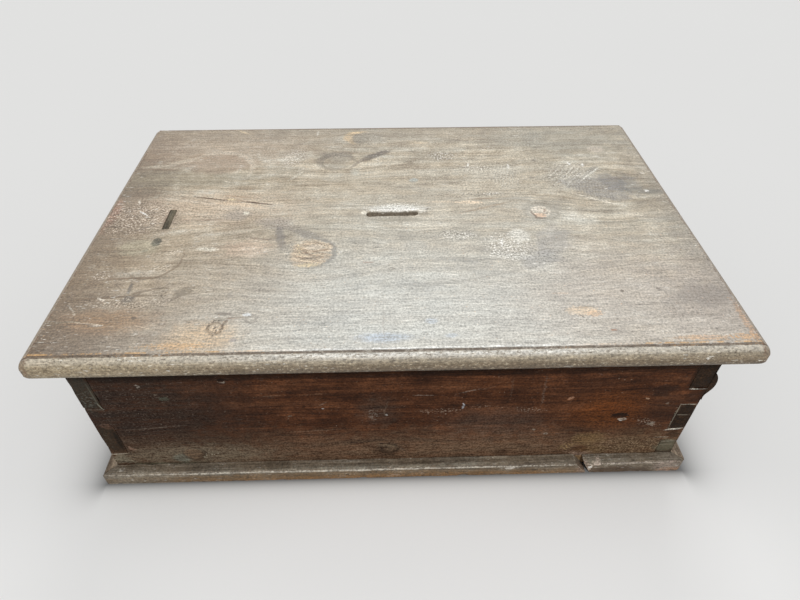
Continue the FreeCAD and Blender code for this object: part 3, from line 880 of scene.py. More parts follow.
@dataclass
class WornBoard:
    """A board drawn anew from its CAD node, with softened arrises and a hand-worked surface.

    Attributes:
        node: The CAD node it stands for.
        body: The body that it moves with.
        slot: The record's material slot; it is not used.
        finish: Its material.
        arris: How far the arrises are softened, in mm.
        step: The spacing of its mesh, in mm.
        uneven: How far its faces wander inwards, in mm.
        nicks: How deep its arrises are nicked, in mm.
        keep: Which sharp edges are softened.
        seed: Where its noise is read, so that no two boards are alike.
        shape: An extra move of single points, in metres.
        cuts: Places on the X, Y and Z axes, in mm, where the mesh is cut once more.
        made: The board's object, once it is built.
    """

    node: str
    body: str
    slot: str
    finish: bpy.types.Material
    arris: float = 0.6
    step: float = 10.0
    uneven: float = 0.2
    nicks: float = 0.5
    keep: Keep = long_edges
    seed: float = 0.0
    shape: Optional[Callable[[Vector], Vector]] = None
    cuts: tuple[tuple[float, ...], tuple[float, ...], tuple[float, ...]] = ((), (), ())
    made: Optional[bpy.types.Object] = field(default=None, init=False)

    def soften(self, mesh: bmesh.types.BMesh) -> None:
        """Rounds the chosen sharp edges and marks the faces that this makes.

        Args:
            mesh: The board's mesh.
        """
        chosen = []
        for edge in mesh.edges:
            middle = (edge.verts[0].co + edge.verts[1].co) / (2.0 * MM)
            sharp = edge.calc_face_angle(0.0) > math.radians(SHARP_EDGE)
            if sharp and self.keep(middle, edge.calc_length()):
                chosen.append(edge)
        made = bmesh.ops.bevel(mesh, geom=chosen, offset=self.arris * MM, offset_type="OFFSET", segments=2,
                               profile=0.5, affect="EDGES", material=-1, clamp_overlap=False)
        layer = mesh.loops.layers.float.new("arris")
        for face in made["faces"]:
            for loop in face.loops:
                loop[layer] = 1.0

    def cut_up(self, mesh: bmesh.types.BMesh) -> None:
        """Cuts the faces along evenly spaced planes, so that they can be uneven.

        Args:
            mesh: The board's mesh.
        """
        low = Vector([min(v.co[i] for v in mesh.verts) for i in range(3)])
        high = Vector([max(v.co[i] for v in mesh.verts) for i in range(3)])
        for axis in range(3):
            count = math.ceil((high[axis] - low[axis]) / (self.step * MM))
            across = Vector([float(i == axis) for i in range(3)])
            places = [low[axis] + (high[axis] - low[axis]) * turn / count for turn in range(1, count)]
            for place in places + [cut * MM for cut in self.cuts[axis]]:
                middle = low.copy()
                middle[axis] = place
                every = mesh.verts[:] + mesh.edges[:] + mesh.faces[:]
                bmesh.ops.bisect_plane(mesh, geom=every, dist=1e-7, plane_co=middle, plane_no=across)

    def wear(self, mesh: bmesh.types.BMesh) -> None:
        """Moves the points inwards: a little over the faces, and more at nicks in the arrises.

        Args:
            mesh: The board's mesh.
        """
        layer = mesh.loops.layers.float["arris"]
        low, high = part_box(self.node)
        mesh.normal_update()
        moves = []
        for vert in mesh.verts:
            at = vert.co + Vector((self.seed, 0.0, 0.0))
            sink = (0.5 + 0.5 * noise.noise(at * UNEVEN_SCALE)) * self.uneven
            if any(loop[layer] > 0.5 for loop in vert.link_loops):
                bite = noise.noise(at * NICK_SCALES[0]) + FINE_NICKS * noise.noise(at * NICK_SCALES[1])
                sink += max(0.0, bite - NICK_FROM) * self.nicks * NICK_GAIN
            moves.append((vert, vert.normal * (-sink * MM)))
        for vert, move in moves:
            vert.co += move
            if self.shape is not None:
                vert.co = self.shape(vert.co)
            vert.co = Vector([min(max(vert.co[i], low[i]), high[i]) for i in range(3)])

    def build(self) -> bpy.types.Object:
        """Makes the board.

        Returns:
            The board's object, which stands for its CAD node.
        """
        mesh = bmesh.new()
        mesh.from_mesh(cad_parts[self.node].data)
        bmesh.ops.remove_doubles(mesh, verts=mesh.verts, dist=WELD)
        bmesh.ops.dissolve_limit(mesh, angle_limit=math.radians(FLAT_EDGE), verts=mesh.verts,
                                 edges=mesh.edges)
        self.soften(mesh)
        self.cut_up(mesh)
        self.wear(mesh)
        bmesh.ops.triangulate(mesh, faces=[f for f in mesh.faces if len(f.verts) > 4])
        bmesh.ops.recalc_face_normals(mesh, faces=mesh.faces)
        for edge in mesh.edges:
            edge.smooth = edge.calc_face_angle(0.0) < math.radians(SMOOTH_EDGE)
        for face in mesh.faces:
            face.smooth = True
            face.material_index = 0
        data = bpy.data.meshes.new(self.node + "_worn")
        mesh.to_mesh(data)
        mesh.free()
        data.materials.append(self.finish)
        self.made = bpy.data.objects.new(self.node + "_worn", data)
        bpy.context.scene.collection.objects.link(self.made)
        normals = self.made.modifiers.new("FlatFaces", "WEIGHTED_NORMAL")
        normals.keep_sharp = True
        normals.weight = 80
        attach(self.made, self.body)
        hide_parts(self.node)
        LOG.info("%s: %d faces", self.made.name, len(data.polygons))
        return self.made


# ---------------------------------------------------------------- the lid
LID_KNOTS = (
    Knot((-92, -72), (62, 40), 0.7),
    Knot((-75, 132), (50, 30), 0.65, 2.2, (26, 24)),
    Knot((176, 2.5), (66, 30), 0.8, 2, (24, 22)),
    Knot((-45, 191), (38, 26), 0.6, 1.8, (14, 16)),
    Knot((262, 62), (80, 55), 0.5),
    Knot((150, -72), (70, 42), 0.45),
    Knot((-306, 2), (56, 40), 0.7, 2.6, (32, 26)),
    Knot((-174, -180), (30, 22), 0.6, 1.7, (11, 13)),
    Knot((-240, -129), (28, 16), 0.5, 1.6, (11, 9)),
)

# PALE: a near-white for pale scratches, and for the painted glints in the white speck clusters
PALE: Rgb = (244, 242, 236)
SOOT: Rgb = (118, 111, 102)

LID_MARKS = (
    # broad tones
    Mark((-352, 0), (68, 330), (112, 97, 82), 0.8, soft=1.3, grainy=False),
    Mark((-336, -212), (132, 84), (98, 78, 58), 0.86, turn=-8, soft=1.4, grainy=False),
    Mark((-250, 180), (140, 60), (166, 145, 126), 0.5, soft=1.3, grainy=False),
    Mark((-272, 90), (86, 20), (148, 140, 121), 0.55, soft=1.2),
    Mark((0, 226), (360, 52), (152, 142, 127), 0.55, soft=1.4, grainy=False),
    Mark((354, -40), (44, 300), (146, 139, 128), 0.62, soft=1.3, grainy=False),
    Mark((330, -168), (76, 64), (152, 143, 134), 0.6, soft=1.4, grainy=False),
    Mark((340, -124), (14, 50), (138, 132, 122), 0.5, soft=1.2, grainy=False),
    # painted sheen: these two pale, cool marks stand in for the reflection over the lid's front middle
    Mark((20, -186), (250, 92), (218, 223, 222), 0.52, soft=1.6, ragged=0.3, grainy=False),
    Mark((60, -84), (230, 100), (198, 199, 193), 0.35, soft=1.6, ragged=0.3, grainy=False),
    Mark((-236, -112), (112, 112), (158, 137, 112), 0.42, soft=1.5, ragged=0.3, grainy=False),
    Mark((258, -150), (120, 80), (184, 168, 154), 0.4, soft=1.5, ragged=0.3, grainy=False),
    Mark((-2, -9), (34, 5), (140, 133, 118), 0.6, soft=0.9),
    Mark((34, 3), (7, 4), (110, 101, 88), 0.7),
    Mark((-215, 22), (98, 36), (210, 190, 168), 0.5, soft=1.2),
    Mark((240, 178), (84, 50), (150, 147, 136), 0.55, soft=1.2),
    Mark((60, 60), (160, 60), (182, 172, 155), 0.35, soft=1.4),
    Mark((-306, 6), (46, 34), (158, 140, 122), 0.5, soft=1.2),
    Mark((-278, -172), (40, 16), (160, 122, 84), 0.45, soft=1.3),
    Mark((-186, -196), (30, 18), (216, 186, 148), 0.6, soft=1.2),
    # pale half ring, its tail and the redder wood inside it
    Mark((-232, 126), (43, 25), (158, 139, 121), 0.7, soft=0.4, ragged=0.2),
    Mark((-230, 116), (47, 44), (204, 192, 174), 0.75, soft=0.12, ragged=0.06, bite=(-4, -8, 45, 45)),
    Mark((-267, 147), (15, 7), (162, 144, 124), 0.6, soft=0.9),
    Mark((-283, 133), (24, 4.5), (196, 184, 166), 0.6, turn=27, ragged=0.4),
    Mark((-312, 121), (20, 4), (188, 178, 160), 0.6, turn=6, ragged=0.6),
    Mark((-300, 113), (22, 2), (142, 122, 104), 0.5, turn=-4),
    Mark((-290, 83), (52, 1.3), (128, 118, 100), 0.6, turn=-3),
    Mark((-264, 60), (38, 1.2), (132, 120, 102), 0.5, turn=-6),
    Mark((-262, 174), (8, 5), (198, 182, 162), 0.4),
    Mark((-215, 216), (12, 2), (214, 196, 164), 0.6, turn=-34),
    Mark((-107, 210), (1.6, 8), (228, 224, 212), 0.6),
    # cream crescent and the grey knot beside it
    Mark((-48, 196), (22, 19), (208, 182, 144), 0.68, soft=0.3, ragged=0.25, bite=(9, -3, 17, 19)),
    Mark((-54, 211), (9, 3.4), (232, 208, 168), 0.7, turn=-4),
    Mark((-47, 191), (12, 14), (140, 134, 123), 0.5, soft=0.7),
    Mark((-34, 192), (22, 18), (126, 120, 110), 0.6, soft=0.8, specks=-1),
    Mark((-28, 196), (20, 12), (148, 142, 131), 0.4, soft=1),
    Mark((38, 179), (15, 3.4), (218, 200, 170), 0.55),
    # dark knot and its streak
    Mark((-76, 131), (27, 25), (122, 115, 106), 0.62, turn=-8, soft=0.35, ragged=0.3, bite=(4, -6, 21, 17),
         height=-0.2),
    Mark((-82, 143), (20, 9), (104, 98, 90), 0.75, turn=10, soft=0.8, specks=-1),
    Mark((-76, 114), (12, 7), (130, 123, 112), 0.5, soft=0.8),
    Mark((-28, 141), (20, 6.5), (86, 78, 72), 0.88, turn=38, soft=0.7, height=-0.15),
    Mark((0, 142), (16, 14), (166, 154, 134), 0.45, soft=1),
    Mark((-69, 133), (15, 11), (140, 134, 124), 0.45, soft=0.8),
    Mark((-13, 151), (11, 6), (102, 93, 86), 0.8, turn=30, soft=0.8),
    Mark((-48, 122), (12, 2.4), (130, 120, 110), 0.6, turn=56),
    Mark((-50, 102), (6, 8), (196, 200, 192), 0.4, soft=1),
    Mark((-134, 140), (14, 22), PALE, 0.6, soft=0.9, specks=1),
    Mark((-122, 110), (4, 3), (232, 226, 212), 0.7, bite=(0, 1.6, 3, 2.6)),
    Mark((-127, 92), (14, 2), (214, 208, 192), 0.6, turn=52),
    Mark((-214, 81), (5, 1.6), (230, 220, 200), 0.6, turn=-24),
    # pale flecks over the far middle, whose white speck clusters are painted glints
    Mark((67, 141), (16, 12), PALE, 0.95, specks=1, height=0.2),
    Mark((64, 139), (15, 10), (136, 126, 112), 0.4, specks=-1),
    Mark((112, 106), (18, 8), PALE, 0.6, soft=1, specks=1),
    Mark((146, 86), (18, 26), (214, 212, 202), 0.5, soft=1, hatch=(78, 4)),
    Mark((100, 130), (120, 80), (210, 206, 192), 0.3, soft=1.3, hatch=(84, 5), specks=1),
    Mark((110, 122), (120, 76), (136, 128, 114), 0.35, soft=1.3, hatch=(80, 6), specks=-1),
    Mark((146, 84), (18, 24), (138, 134, 124), 0.45, soft=1, specks=-1),
    Mark((101, 115), (1.4, 5), PALE, 0.8),
    Mark((154, 110), (1.4, 6), PALE, 0.7),
    Mark((110, 64), (30, 18), (210, 204, 188), 0.35, soft=1.2, hatch=(62, 5)),
    Mark((191, 125), (3, 2.4), SOOT, 0.8),
    Mark((180, 81), (4, 2.6), SOOT, 0.7),
    Mark((71, 89), (5, 2.6), (140, 132, 120), 0.6),
    Mark((33, 46), (6, 4), SOOT, 0.7, specks=-1),
    Mark((100, 43), (36, 5), SOOT, 0.7, soft=0.9, specks=-1),
    Mark((124, 44), (12, 4), PALE, 0.7, specks=1),
    Mark((202, 190), (16, 24), (138, 137, 130), 0.5, soft=0.9, hatch=(86, 4.5)),
    Mark((232, 142), (14, 3), (140, 137, 128), 0.4),
    # the dark patch, its pale strokes and the streak to its right
    Mark((260, 56), (44, 25), (140, 138, 136), 0.65, turn=-28, soft=0.5, ragged=0.6),
    Mark((281, 66), (15, 23), (128, 126, 125), 0.7, turn=18, soft=0.4, ragged=0.4),
    Mark((252, 48), (34, 18), (112, 110, 109), 0.55, turn=-24, hatch=(80, 4)),
    Mark((262, 96), (16, 5), (120, 116, 110), 0.6, turn=48),
    Mark((232, 90), (32, 21), (216, 211, 198), 0.5, turn=36, soft=0.9, ragged=0.9, hatch=(54, 7),
         height=0.2),
    Mark((228, 84), (34, 22), (126, 120, 110), 0.5, turn=36, soft=0.9, hatch=(50, 6)),
    Mark((230, 88), (34, 24), PALE, 0.4, turn=36, soft=1, specks=1),
    Mark((258, 88), (24, 1.4), (232, 228, 216), 0.85, turn=46, soft=0.5),
    Mark((237, 115), (1.8, 4), PALE, 0.9),
    Mark((254, 111), (1.8, 4.4), PALE, 0.9),
    Mark((254, 26), (34, 1.6), (222, 214, 198), 0.75, turn=-28, soft=0.5),
    Mark((208, 60), (9, 3), SOOT, 0.6, specks=-1),
    Mark((302, 66), (15, 19), (128, 126, 122), 0.7, soft=0.8),
    Mark((314, 46), (28, 7), (118, 116, 110), 0.82, turn=-6, soft=0.8),
    Mark((319, 46), (2.6, 2.2), PALE, 0.8),
    Mark((284, 154), (11, 9), (206, 194, 180), 0.55, soft=0.5, ragged=0.3),
    Mark((328, 88), (3, 2.6), (222, 216, 204), 0.6),
    # check in the wood, with the pale splinter in its gap
    Mark((-227.5, 42), (21, 1.3), (92, 74, 58), 0.95, turn=-12.5, soft=0.4, height=-0.7, grainy=False),
    Mark((-166, 30), (19.5, 1.2), (96, 76, 60), 0.95, turn=-11.5, soft=0.4, height=-0.6, grainy=False),
    Mark((-196, 38), (14, 1), (132, 108, 84), 0.7, turn=-8),
    Mark((-200, 39), (5, 2), (240, 220, 180), 0.9, turn=-10, height=0.3),
    Mark((-190, 28), (28, 4), (232, 208, 178), 0.5, turn=-9),
    Mark((-190, 45), (26, 1), (148, 118, 94), 0.6, turn=-10),
    Mark((-226, 26), (40, 16), (172, 142, 118), 0.5, soft=1, specks=-1),
    Mark((-225, -4), (33, 1), (134, 104, 86), 0.7, turn=-2),
    # left swirl
    Mark((-338, 10), (8, 30), (170, 128, 110), 0.5, soft=1),
    Mark((-300, 11), (7, 1.4), PALE, 0.9, turn=-40),
    Mark((-312, 36), (1.4, 5), (232, 224, 210), 0.7, turn=12),
    Mark((-306, 4), (48, 34), (92, 82, 74), 0.5, soft=1, specks=-1),
    Mark((-306, 2), (40, 28), (230, 220, 206), 0.6, soft=1, specks=1),
    Mark((-284, -14), (14, 8), (104, 97, 90), 0.75, turn=30, soft=0.8, specks=-1),
    Mark((-290, -19), (11, 2), (118, 108, 98), 0.6, turn=28),
    # mortise surround and the dark spots below it
    Mark((-265.8, -1.2), (6.4, 23), (132, 112, 96), 0.5, turn=-2, soft=0.4),
    Mark((-268.5, -46), (5.4, 8), (92, 89, 78), 0.95, soft=0.35, ragged=0.3, grainy=False),
    Mark((-277, -61), (3.4, 3), (118, 116, 104), 0.7),
    Mark((-286, -56), (22, 13), (190, 186, 162), 0.45, soft=0.8),
    Mark((-308, -37), (6, 4), (122, 112, 100), 0.55, specks=-1),
    # the dark flow that runs down to the orange knot
    Mark((-187, 5), (15, 11), (128, 122, 117), 0.6, soft=0.8, specks=-1),
    Mark((-188, 4), (15, 10), (156, 149, 142), 0.5, soft=0.9),
    Mark((-178, 9), (3.4, 3.4), (234, 228, 210), 0.8),
    Mark((-137, -14), (24, 12), (140, 132, 128), 0.5, turn=-14, soft=0.9),
    Mark((-140, -14), (26, 13), (98, 90, 84), 0.5, turn=-14, soft=0.9, specks=-1),
    Mark((-130, -42), (5, 22), (116, 112, 110), 0.7, turn=12, soft=0.7, height=-0.2),
    Mark((-101, -36), (18, 6), (124, 120, 118), 0.55, turn=-30, soft=0.8),
    Mark((-152, -43), (16, 1.4), (122, 108, 98), 0.7, turn=-10),
    Mark((-165, -60), (26, 14), (206, 178, 156), 0.4, soft=1.1),
    # orange knot
    Mark((-93, -70), (22, 23), (222, 202, 174), 0.75, soft=0.5, height=0.2),
    Mark((-93, -70), (23, 24), (158, 134, 112), 0.45, soft=0.5, specks=-1, height=-0.2),
    Mark((-92, -70), (21, 22), (128, 104, 86), 0.55, turn=-14, hatch=(-16, 7), height=-0.2),
    Mark((-107, -64), (3.4, 10), (238, 218, 168), 0.75, turn=8, specks=1),
    Mark((-94, -91), (13, 3.2), (236, 214, 170), 0.6, turn=4, ragged=1),
    Mark((-78, -58), (9, 8), (228, 210, 180), 0.5, specks=1),
    Mark((-90, -60), (10, 5), (228, 218, 202), 0.5, soft=0.8),
    Mark((-92, -79), (14, 1.4), (112, 92, 76), 0.7, turn=9, height=-0.4),
    Mark((-99, -69), (10, 1.2), (120, 98, 80), 0.65, turn=-34, height=-0.4),
    Mark((-84, -66), (10, 1.2), (124, 102, 84), 0.6, turn=12, height=-0.3),
    Mark((-92, -69), (28, 27), (112, 112, 112), 0.65, soft=0.2, ragged=0.25, bite=(-5, 0, 26.5, 26),
         height=-0.3),
    Mark((-118, -62), (5, 14), (114, 114, 116), 0.55, soft=0.9, specks=-1),
    # worn rim behind the slot, and scratches beside it
    Mark((2, 15), (34, 6), (228, 228, 222), 0.75, soft=0.9, ragged=0.8, height=0.1),
    Mark((4, 11), (30, 3.2), PALE, 0.66, ragged=0.9),
    Mark((10, 21), (24, 5), PALE, 0.6, specks=1),
    Mark((-36, 6), (4, 3.4), (236, 230, 214), 0.8, ragged=0.8),
    Mark((34, 8), (6, 3), (234, 230, 218), 0.7, turn=20, ragged=1),
    Mark((52, 9), (10, 1.6), (226, 218, 200), 0.5, turn=-20),
    Mark((-8, -5), (22, 2), (224, 216, 198), 0.45, ragged=1, specks=1),
    Mark((40, 12), (1.6, 1.6), (96, 88, 78), 0.9),
    Mark((25, 7.2), (5, 2.4), (120, 112, 99), 0.75),
    Mark((-56, 22), (11, 1.2), (140, 128, 110), 0.6, turn=-6),
    Mark((92, 25.5), (17, 3), (244, 222, 194), 0.8, turn=-2, soft=0.7),
    Mark((60, 27), (20, 2.4), (222, 204, 180), 0.5),
    Mark((108, 33), (17, 1.3), (146, 118, 96), 0.6, turn=2),
    # pink knot and the lines that sweep round it
    Mark((176, 3), (25, 21), (150, 146, 138), 0.45, ragged=0.4),
    Mark((176, 3), (11.5, 11.5), (232, 222, 206), 0.85, soft=0.3, ragged=0.3, height=0.25),
    Mark((174, -4), (7, 4.5), (224, 184, 152), 0.7, ragged=0.6),
    Mark((166.5, -2), (1.5, 8), (104, 86, 72), 0.85, turn=16, height=-0.3),
    Mark((173, -10), (6, 1.5), (100, 84, 72), 0.85, turn=-8, height=-0.3),
    Mark((181, 5), (1.2, 5), (152, 122, 102), 0.7, turn=-30, height=-0.2),
    Mark((108, 13), (40, 1.8), (152, 132, 110), 0.6, turn=20),
    Mark((186, 26), (48, 1.4), (138, 134, 126), 0.55, turn=-9),
    Mark((160, 34), (30, 1.2), (146, 146, 142), 0.55, turn=2),
    Mark((250, 2), (60, 1.4), (154, 144, 130), 0.45, turn=-5),
    Mark((310, -12), (34, 2), (150, 142, 130), 0.5, turn=-4),
    # squiggles, pale oval, painted glints in white speck clusters, and grey smudge
    Mark((142, -44), (11, 12), (226, 224, 214), 0.8, soft=0.7),
    Mark((126, -66), (24, 24), PALE, 0.65, soft=0.8, specks=1, height=0.15),
    Mark((124, -64), (24, 23), PALE, 0.6, soft=0.8, hatch=(58, 6), specks=1),
    Mark((132, -70), (26, 20), (132, 126, 112), 0.5, soft=0.8, specks=-1),
    Mark((120, -56), (1.2, 8), PALE, 0.9, turn=-12),
    Mark((64, -39), (14, 7), (128, 122, 110), 0.6, specks=-1),
    Mark((72, -42), (20, 8), PALE, 0.6, specks=1),
    Mark((178, -56), (18, 30), (160, 158, 156), 0.55, turn=-30, soft=0.8),
    Mark((156, -86), (22, 14), (158, 157, 156), 0.5, turn=24, soft=0.9),
    Mark((164, -78), (24, 20), (120, 117, 112), 0.5, soft=0.9, specks=-1),
    Mark((150, -100), (8, 2.4), (112, 108, 102), 0.6, turn=6, specks=-1),
    Mark((32, -66), (6, 5), (138, 136, 130), 0.65, specks=-1),
    Mark((22, -60), (14, 8), (178, 178, 172), 0.4, soft=1),
    Mark((38, -124), (44, 1.8), (160, 158, 152), 0.55, turn=3),
    Mark((112, -110), (44, 2), (162, 158, 150), 0.55, turn=15),
    # dent arc, scuffs and small marks at the left
    Mark((-262, -76), (31, 35), (120, 104, 86), 0.75, soft=0.07, ragged=0.05, bite=(-1.5, 3, 30.5, 35.5),
         height=-0.3),
    Mark((-251, -92), (11, 6), (218, 208, 190), 0.6, turn=16, specks=1),
    Mark((-242, -65), (6, 4), (226, 218, 204), 0.6, specks=1),
    Mark((-208, -60.5), (11, 3.4), (230, 224, 208), 0.85, turn=-6, ragged=1.1),
    Mark((-207, -67), (8, 1.6), (118, 106, 90), 0.55, turn=14),
    Mark((-280, -108), (26, 1.8), (122, 104, 86), 0.65, turn=3),
    Mark((-292, -138), (42, 1.8), (112, 96, 80), 0.7, turn=4),
    Mark((-258, -129), (13, 1.5), (116, 100, 84), 0.7, turn=18),
    Mark((-300, -60), (26, 1.2), (126, 110, 94), 0.5, turn=2),
    Mark((-273.5, -124), (2.2, 9), (98, 94, 90), 0.8, turn=4),
    Mark((-271, -141), (6, 5), (106, 102, 98), 0.75, soft=0.5),
    Mark((-240, -129), (9, 8), (112, 100, 86), 0.6, specks=-1),
    Mark((-240, -129), (7, 6), (116, 104, 90), 0.45, soft=0.8),
    Mark((-218, -131), (10, 7), (108, 98, 84), 0.55, turn=30),
    Mark((-224, -140), (6, 1.6), (112, 100, 90), 0.6, turn=42),
    Mark((-259, -151), (9, 3), (72, 64, 56), 0.85, specks=-1),
    Mark((-257, -168), (2.6, 2.2), (96, 88, 80), 0.8),
    Mark((-170, -138), (3, 4), (138, 132, 124), 0.6),
    Mark((-310, -103), (8, 8), (220, 212, 200), 0.5, specks=1),
    Mark((-268, -146), (40, 8), (212, 200, 182), 0.6, specks=1),
    Mark((-322, -154), (5.5, 0.8), (214, 206, 192), 0.75, turn=-44, ragged=1),
    Mark((-298, -140), (3.6, 1.3), (226, 218, 204), 0.7, turn=-24, ragged=1.2),
    Mark((-302, -174), (17, 0.8), (206, 192, 172), 0.65, turn=-9, ragged=1),
    Mark((-289, -177.5), (4.4, 1.1), (236, 228, 214), 0.75, ragged=1),
    Mark((-316, -161), (2, 1.2), (206, 194, 176), 0.7, turn=-40),
    Mark((-322, -172), (22, 1.4), (122, 116, 100), 0.5, turn=2),
    Mark((-240, -182), (12, 0.8), (206, 190, 168), 0.7, turn=-18),
    # gnarl and the pale ring beside it
    Mark((-175, -182), (8, 10), (88, 76, 64), 0.75, turn=-24, ragged=0.7, specks=-1, height=-0.3),
    Mark((-175, -184), (8, 8.5), (108, 92, 76), 0.6, soft=0.2, ragged=0.3, bite=(0, 0.5, 5.6, 6)),
    Mark((-171, -164), (8, 2.2), (112, 104, 98), 0.7, turn=-6),
    Mark((-167, -176), (1.6, 7), (118, 102, 88), 0.7, turn=-20),
    Mark((-158, -170), (9, 1.2), (140, 118, 100), 0.6, turn=4),
    Mark((-143, -172), (5.4, 6), (146, 138, 130), 0.75, soft=0.25, bite=(0, 0, 3.8, 4.4)),
    Mark((-148, -166), (4, 2.6), (226, 230, 232), 0.7),
    # tan patch
    Mark((181, -169), (16, 6.5), (232, 210, 182), 0.8, soft=0.5, ragged=0.7),
    Mark((192, -173), (8, 4), (226, 190, 154), 0.6, ragged=0.7),
    Mark((178, -180), (8, 5), (122, 112, 98), 0.8, specks=-1),
    Mark((186, -163.5), (9, 1.3), (132, 118, 102), 0.65, turn=4),
    Mark((168, -175), (8, 6), (180, 174, 166), 0.5, soft=0.9),
    Mark((205, -196), (3, 1.4), (150, 100, 74), 0.8),
    Mark((166, -143), (9, 1.2), (226, 206, 186), 0.7),
    # small spots
    Mark((-5, -99.5), (3.4, 2.6), (138, 132, 124), 0.8, soft=0.3, bite=(-0.6, 0, 1.8, 1.3)),
    Mark((-30, -88), (6, 1), (158, 116, 96), 0.6),
    Mark((26.5, 78), (5.6, 4.6), (172, 182, 180), 0.7, soft=0.5),
    Mark((230, -141), (2, 2), (104, 94, 84), 0.9),
    Mark((268, -139), (2, 2.6), (112, 104, 96), 0.8),
    Mark((312, -150), (32, 16), (132, 125, 120), 0.5, soft=1),
    Mark((-15, -200), (24, 6), (180, 194, 210), 0.62, soft=1),
    Mark((32, -179), (6, 3.6), (186, 198, 212), 0.55, soft=0.9),
    Mark((50, -199), (6, 2.6), (188, 200, 214), 0.5, soft=0.9),
    Mark((-14, -180), (0.9, 21), (172, 168, 160), 0.6),
    Mark((-97, -190), (4, 3.6), (146, 150, 156), 0.6, specks=-1),
    Mark((-155, -200), (4, 2.2), (142, 140, 144), 0.6),
    Mark((292, -207), (8, 1.8), (162, 176, 186), 0.6),
    # wear along the front and right arrises
    Mark((-208, -206), (26, 4), (212, 170, 120), 0.5, ragged=1.2),
    Mark((288, -208), (26, 3), (218, 176, 132), 0.55, ragged=1.3),
    Mark((332, -207), (14, 4), (206, 160, 108), 0.55, ragged=1.3),
    Mark((336, -186), (3, 26), (186, 144, 104), 0.5, ragged=1.2),
    Mark((0, 224.5), (340, 2.6), (96, 76, 62), 0.7, ragged=1),
)


# Boxes round the lid's outline, openings and hinge housings, in mm
OUTLINE_FROM = (335.0, 210.0)
SLOT_ROOM = (34.0, 6.0)
MORTISE_ROOM = (6.0, 21.0)
MORTISE_FROM = 223.0
HOUSING_FROM = 190.0
HOUSING_ROOM = 45.0
HOUSING_TOP = 203.4


def within(middle: Vector, centre: Pair, room: Pair) -> bool:
    """Whether a place lies in a box round a centre, seen from above."""
    return abs(middle.x - centre[0]) < room[0] and abs(middle.y - centre[1]) < room[1]


def lid_edges(middle: Vector, length: float) -> bool:
    """Keeps the lid's outline, slot and mortise edges, and leaves its nail holes and housings.

    Args:
        middle: The edge's middle, in mm.
        length: Its length, in metres; it is not used.

    Returns:
        Whether the edge is softened.
    """
    outline = abs(middle.x) > OUTLINE_FROM[0] or abs(middle.y) > OUTLINE_FROM[1]
    slot = within(middle, SLOT, SLOT_ROOM)
    mortise = within(middle, MORTISE, MORTISE_ROOM) and middle.z > MORTISE_FROM
    housing = middle.y > HOUSING_FROM and middle.z < HOUSING_TOP
    housing = housing and min(abs(middle.x - hinge) for hinge in HINGES) < HOUSING_ROOM
    return (outline or slot or mortise) and not housing


CORNER_WEAR = 11.0
CORNER_CUTS = tuple(CORNER_WEAR * share for share in (0.15, 0.35, 0.55, 0.75, 1.0))
CORNER_X = LID_END - CORNER_WEAR
CORNER_Y = -(LID_SIDE - CORNER_WEAR)

# The slot's hand-cut walls: how far along and across it they are moved, as shares of its half length and
# in mm, where they lie, how far the move fades, where and how steeply the slot narrows, and how far the
# front and back walls wander
WALL_REACH = 1.15
WALL_ROOM = 6.5
WALL_AT = 4.4
WALL_FADE = 2.4
NARROW_FROM = 0.45
NARROWING = 0.8
WANDER_FRONT = 0.9
WANDER_BACK = 0.35


def lid_shape(place: Vector) -> Vector:
    """Rounds the lid's two front corners, and makes the hand-cut slot's walls wander.

    Args:
        place: A point of the mesh, in metres.

    Returns:
        Where it goes.
    """
    x, y, z = place / MM
    right, ahead = abs(x) - CORNER_X, CORNER_Y - y
    if right > 0.0 and ahead > 0.0:
        pull = max(right, ahead) / math.hypot(right, ahead)
        side = 1.0 if x > 0.0 else -1.0
        return Vector((side * (CORNER_X + right * pull), CORNER_Y - ahead * pull, z)) * MM
    along = (x - SLOT[0]) / SLOT_HALF_LENGTH
    if abs(along) > WALL_REACH or abs(y - SLOT[1]) > WALL_ROOM:
        return place
    wander = noise.noise(Vector((x * 0.11, 3.7, z * 0.05))) * 1.1
    wander += noise.noise(Vector((x * 0.4, 9.0, 0.0))) * 0.5
    near = max(0.0, 1.0 - abs(abs(y - SLOT[1]) - WALL_AT) / WALL_FADE)
    side = 1.0 if y > SLOT[1] else -1.0
    narrow = max(0.0, along - NARROW_FROM) * NARROWING * side
    wander *= WANDER_BACK if side > 0 else WANDER_FRONT
    return Vector((x, y + (wander - narrow) * near, z)) * MM


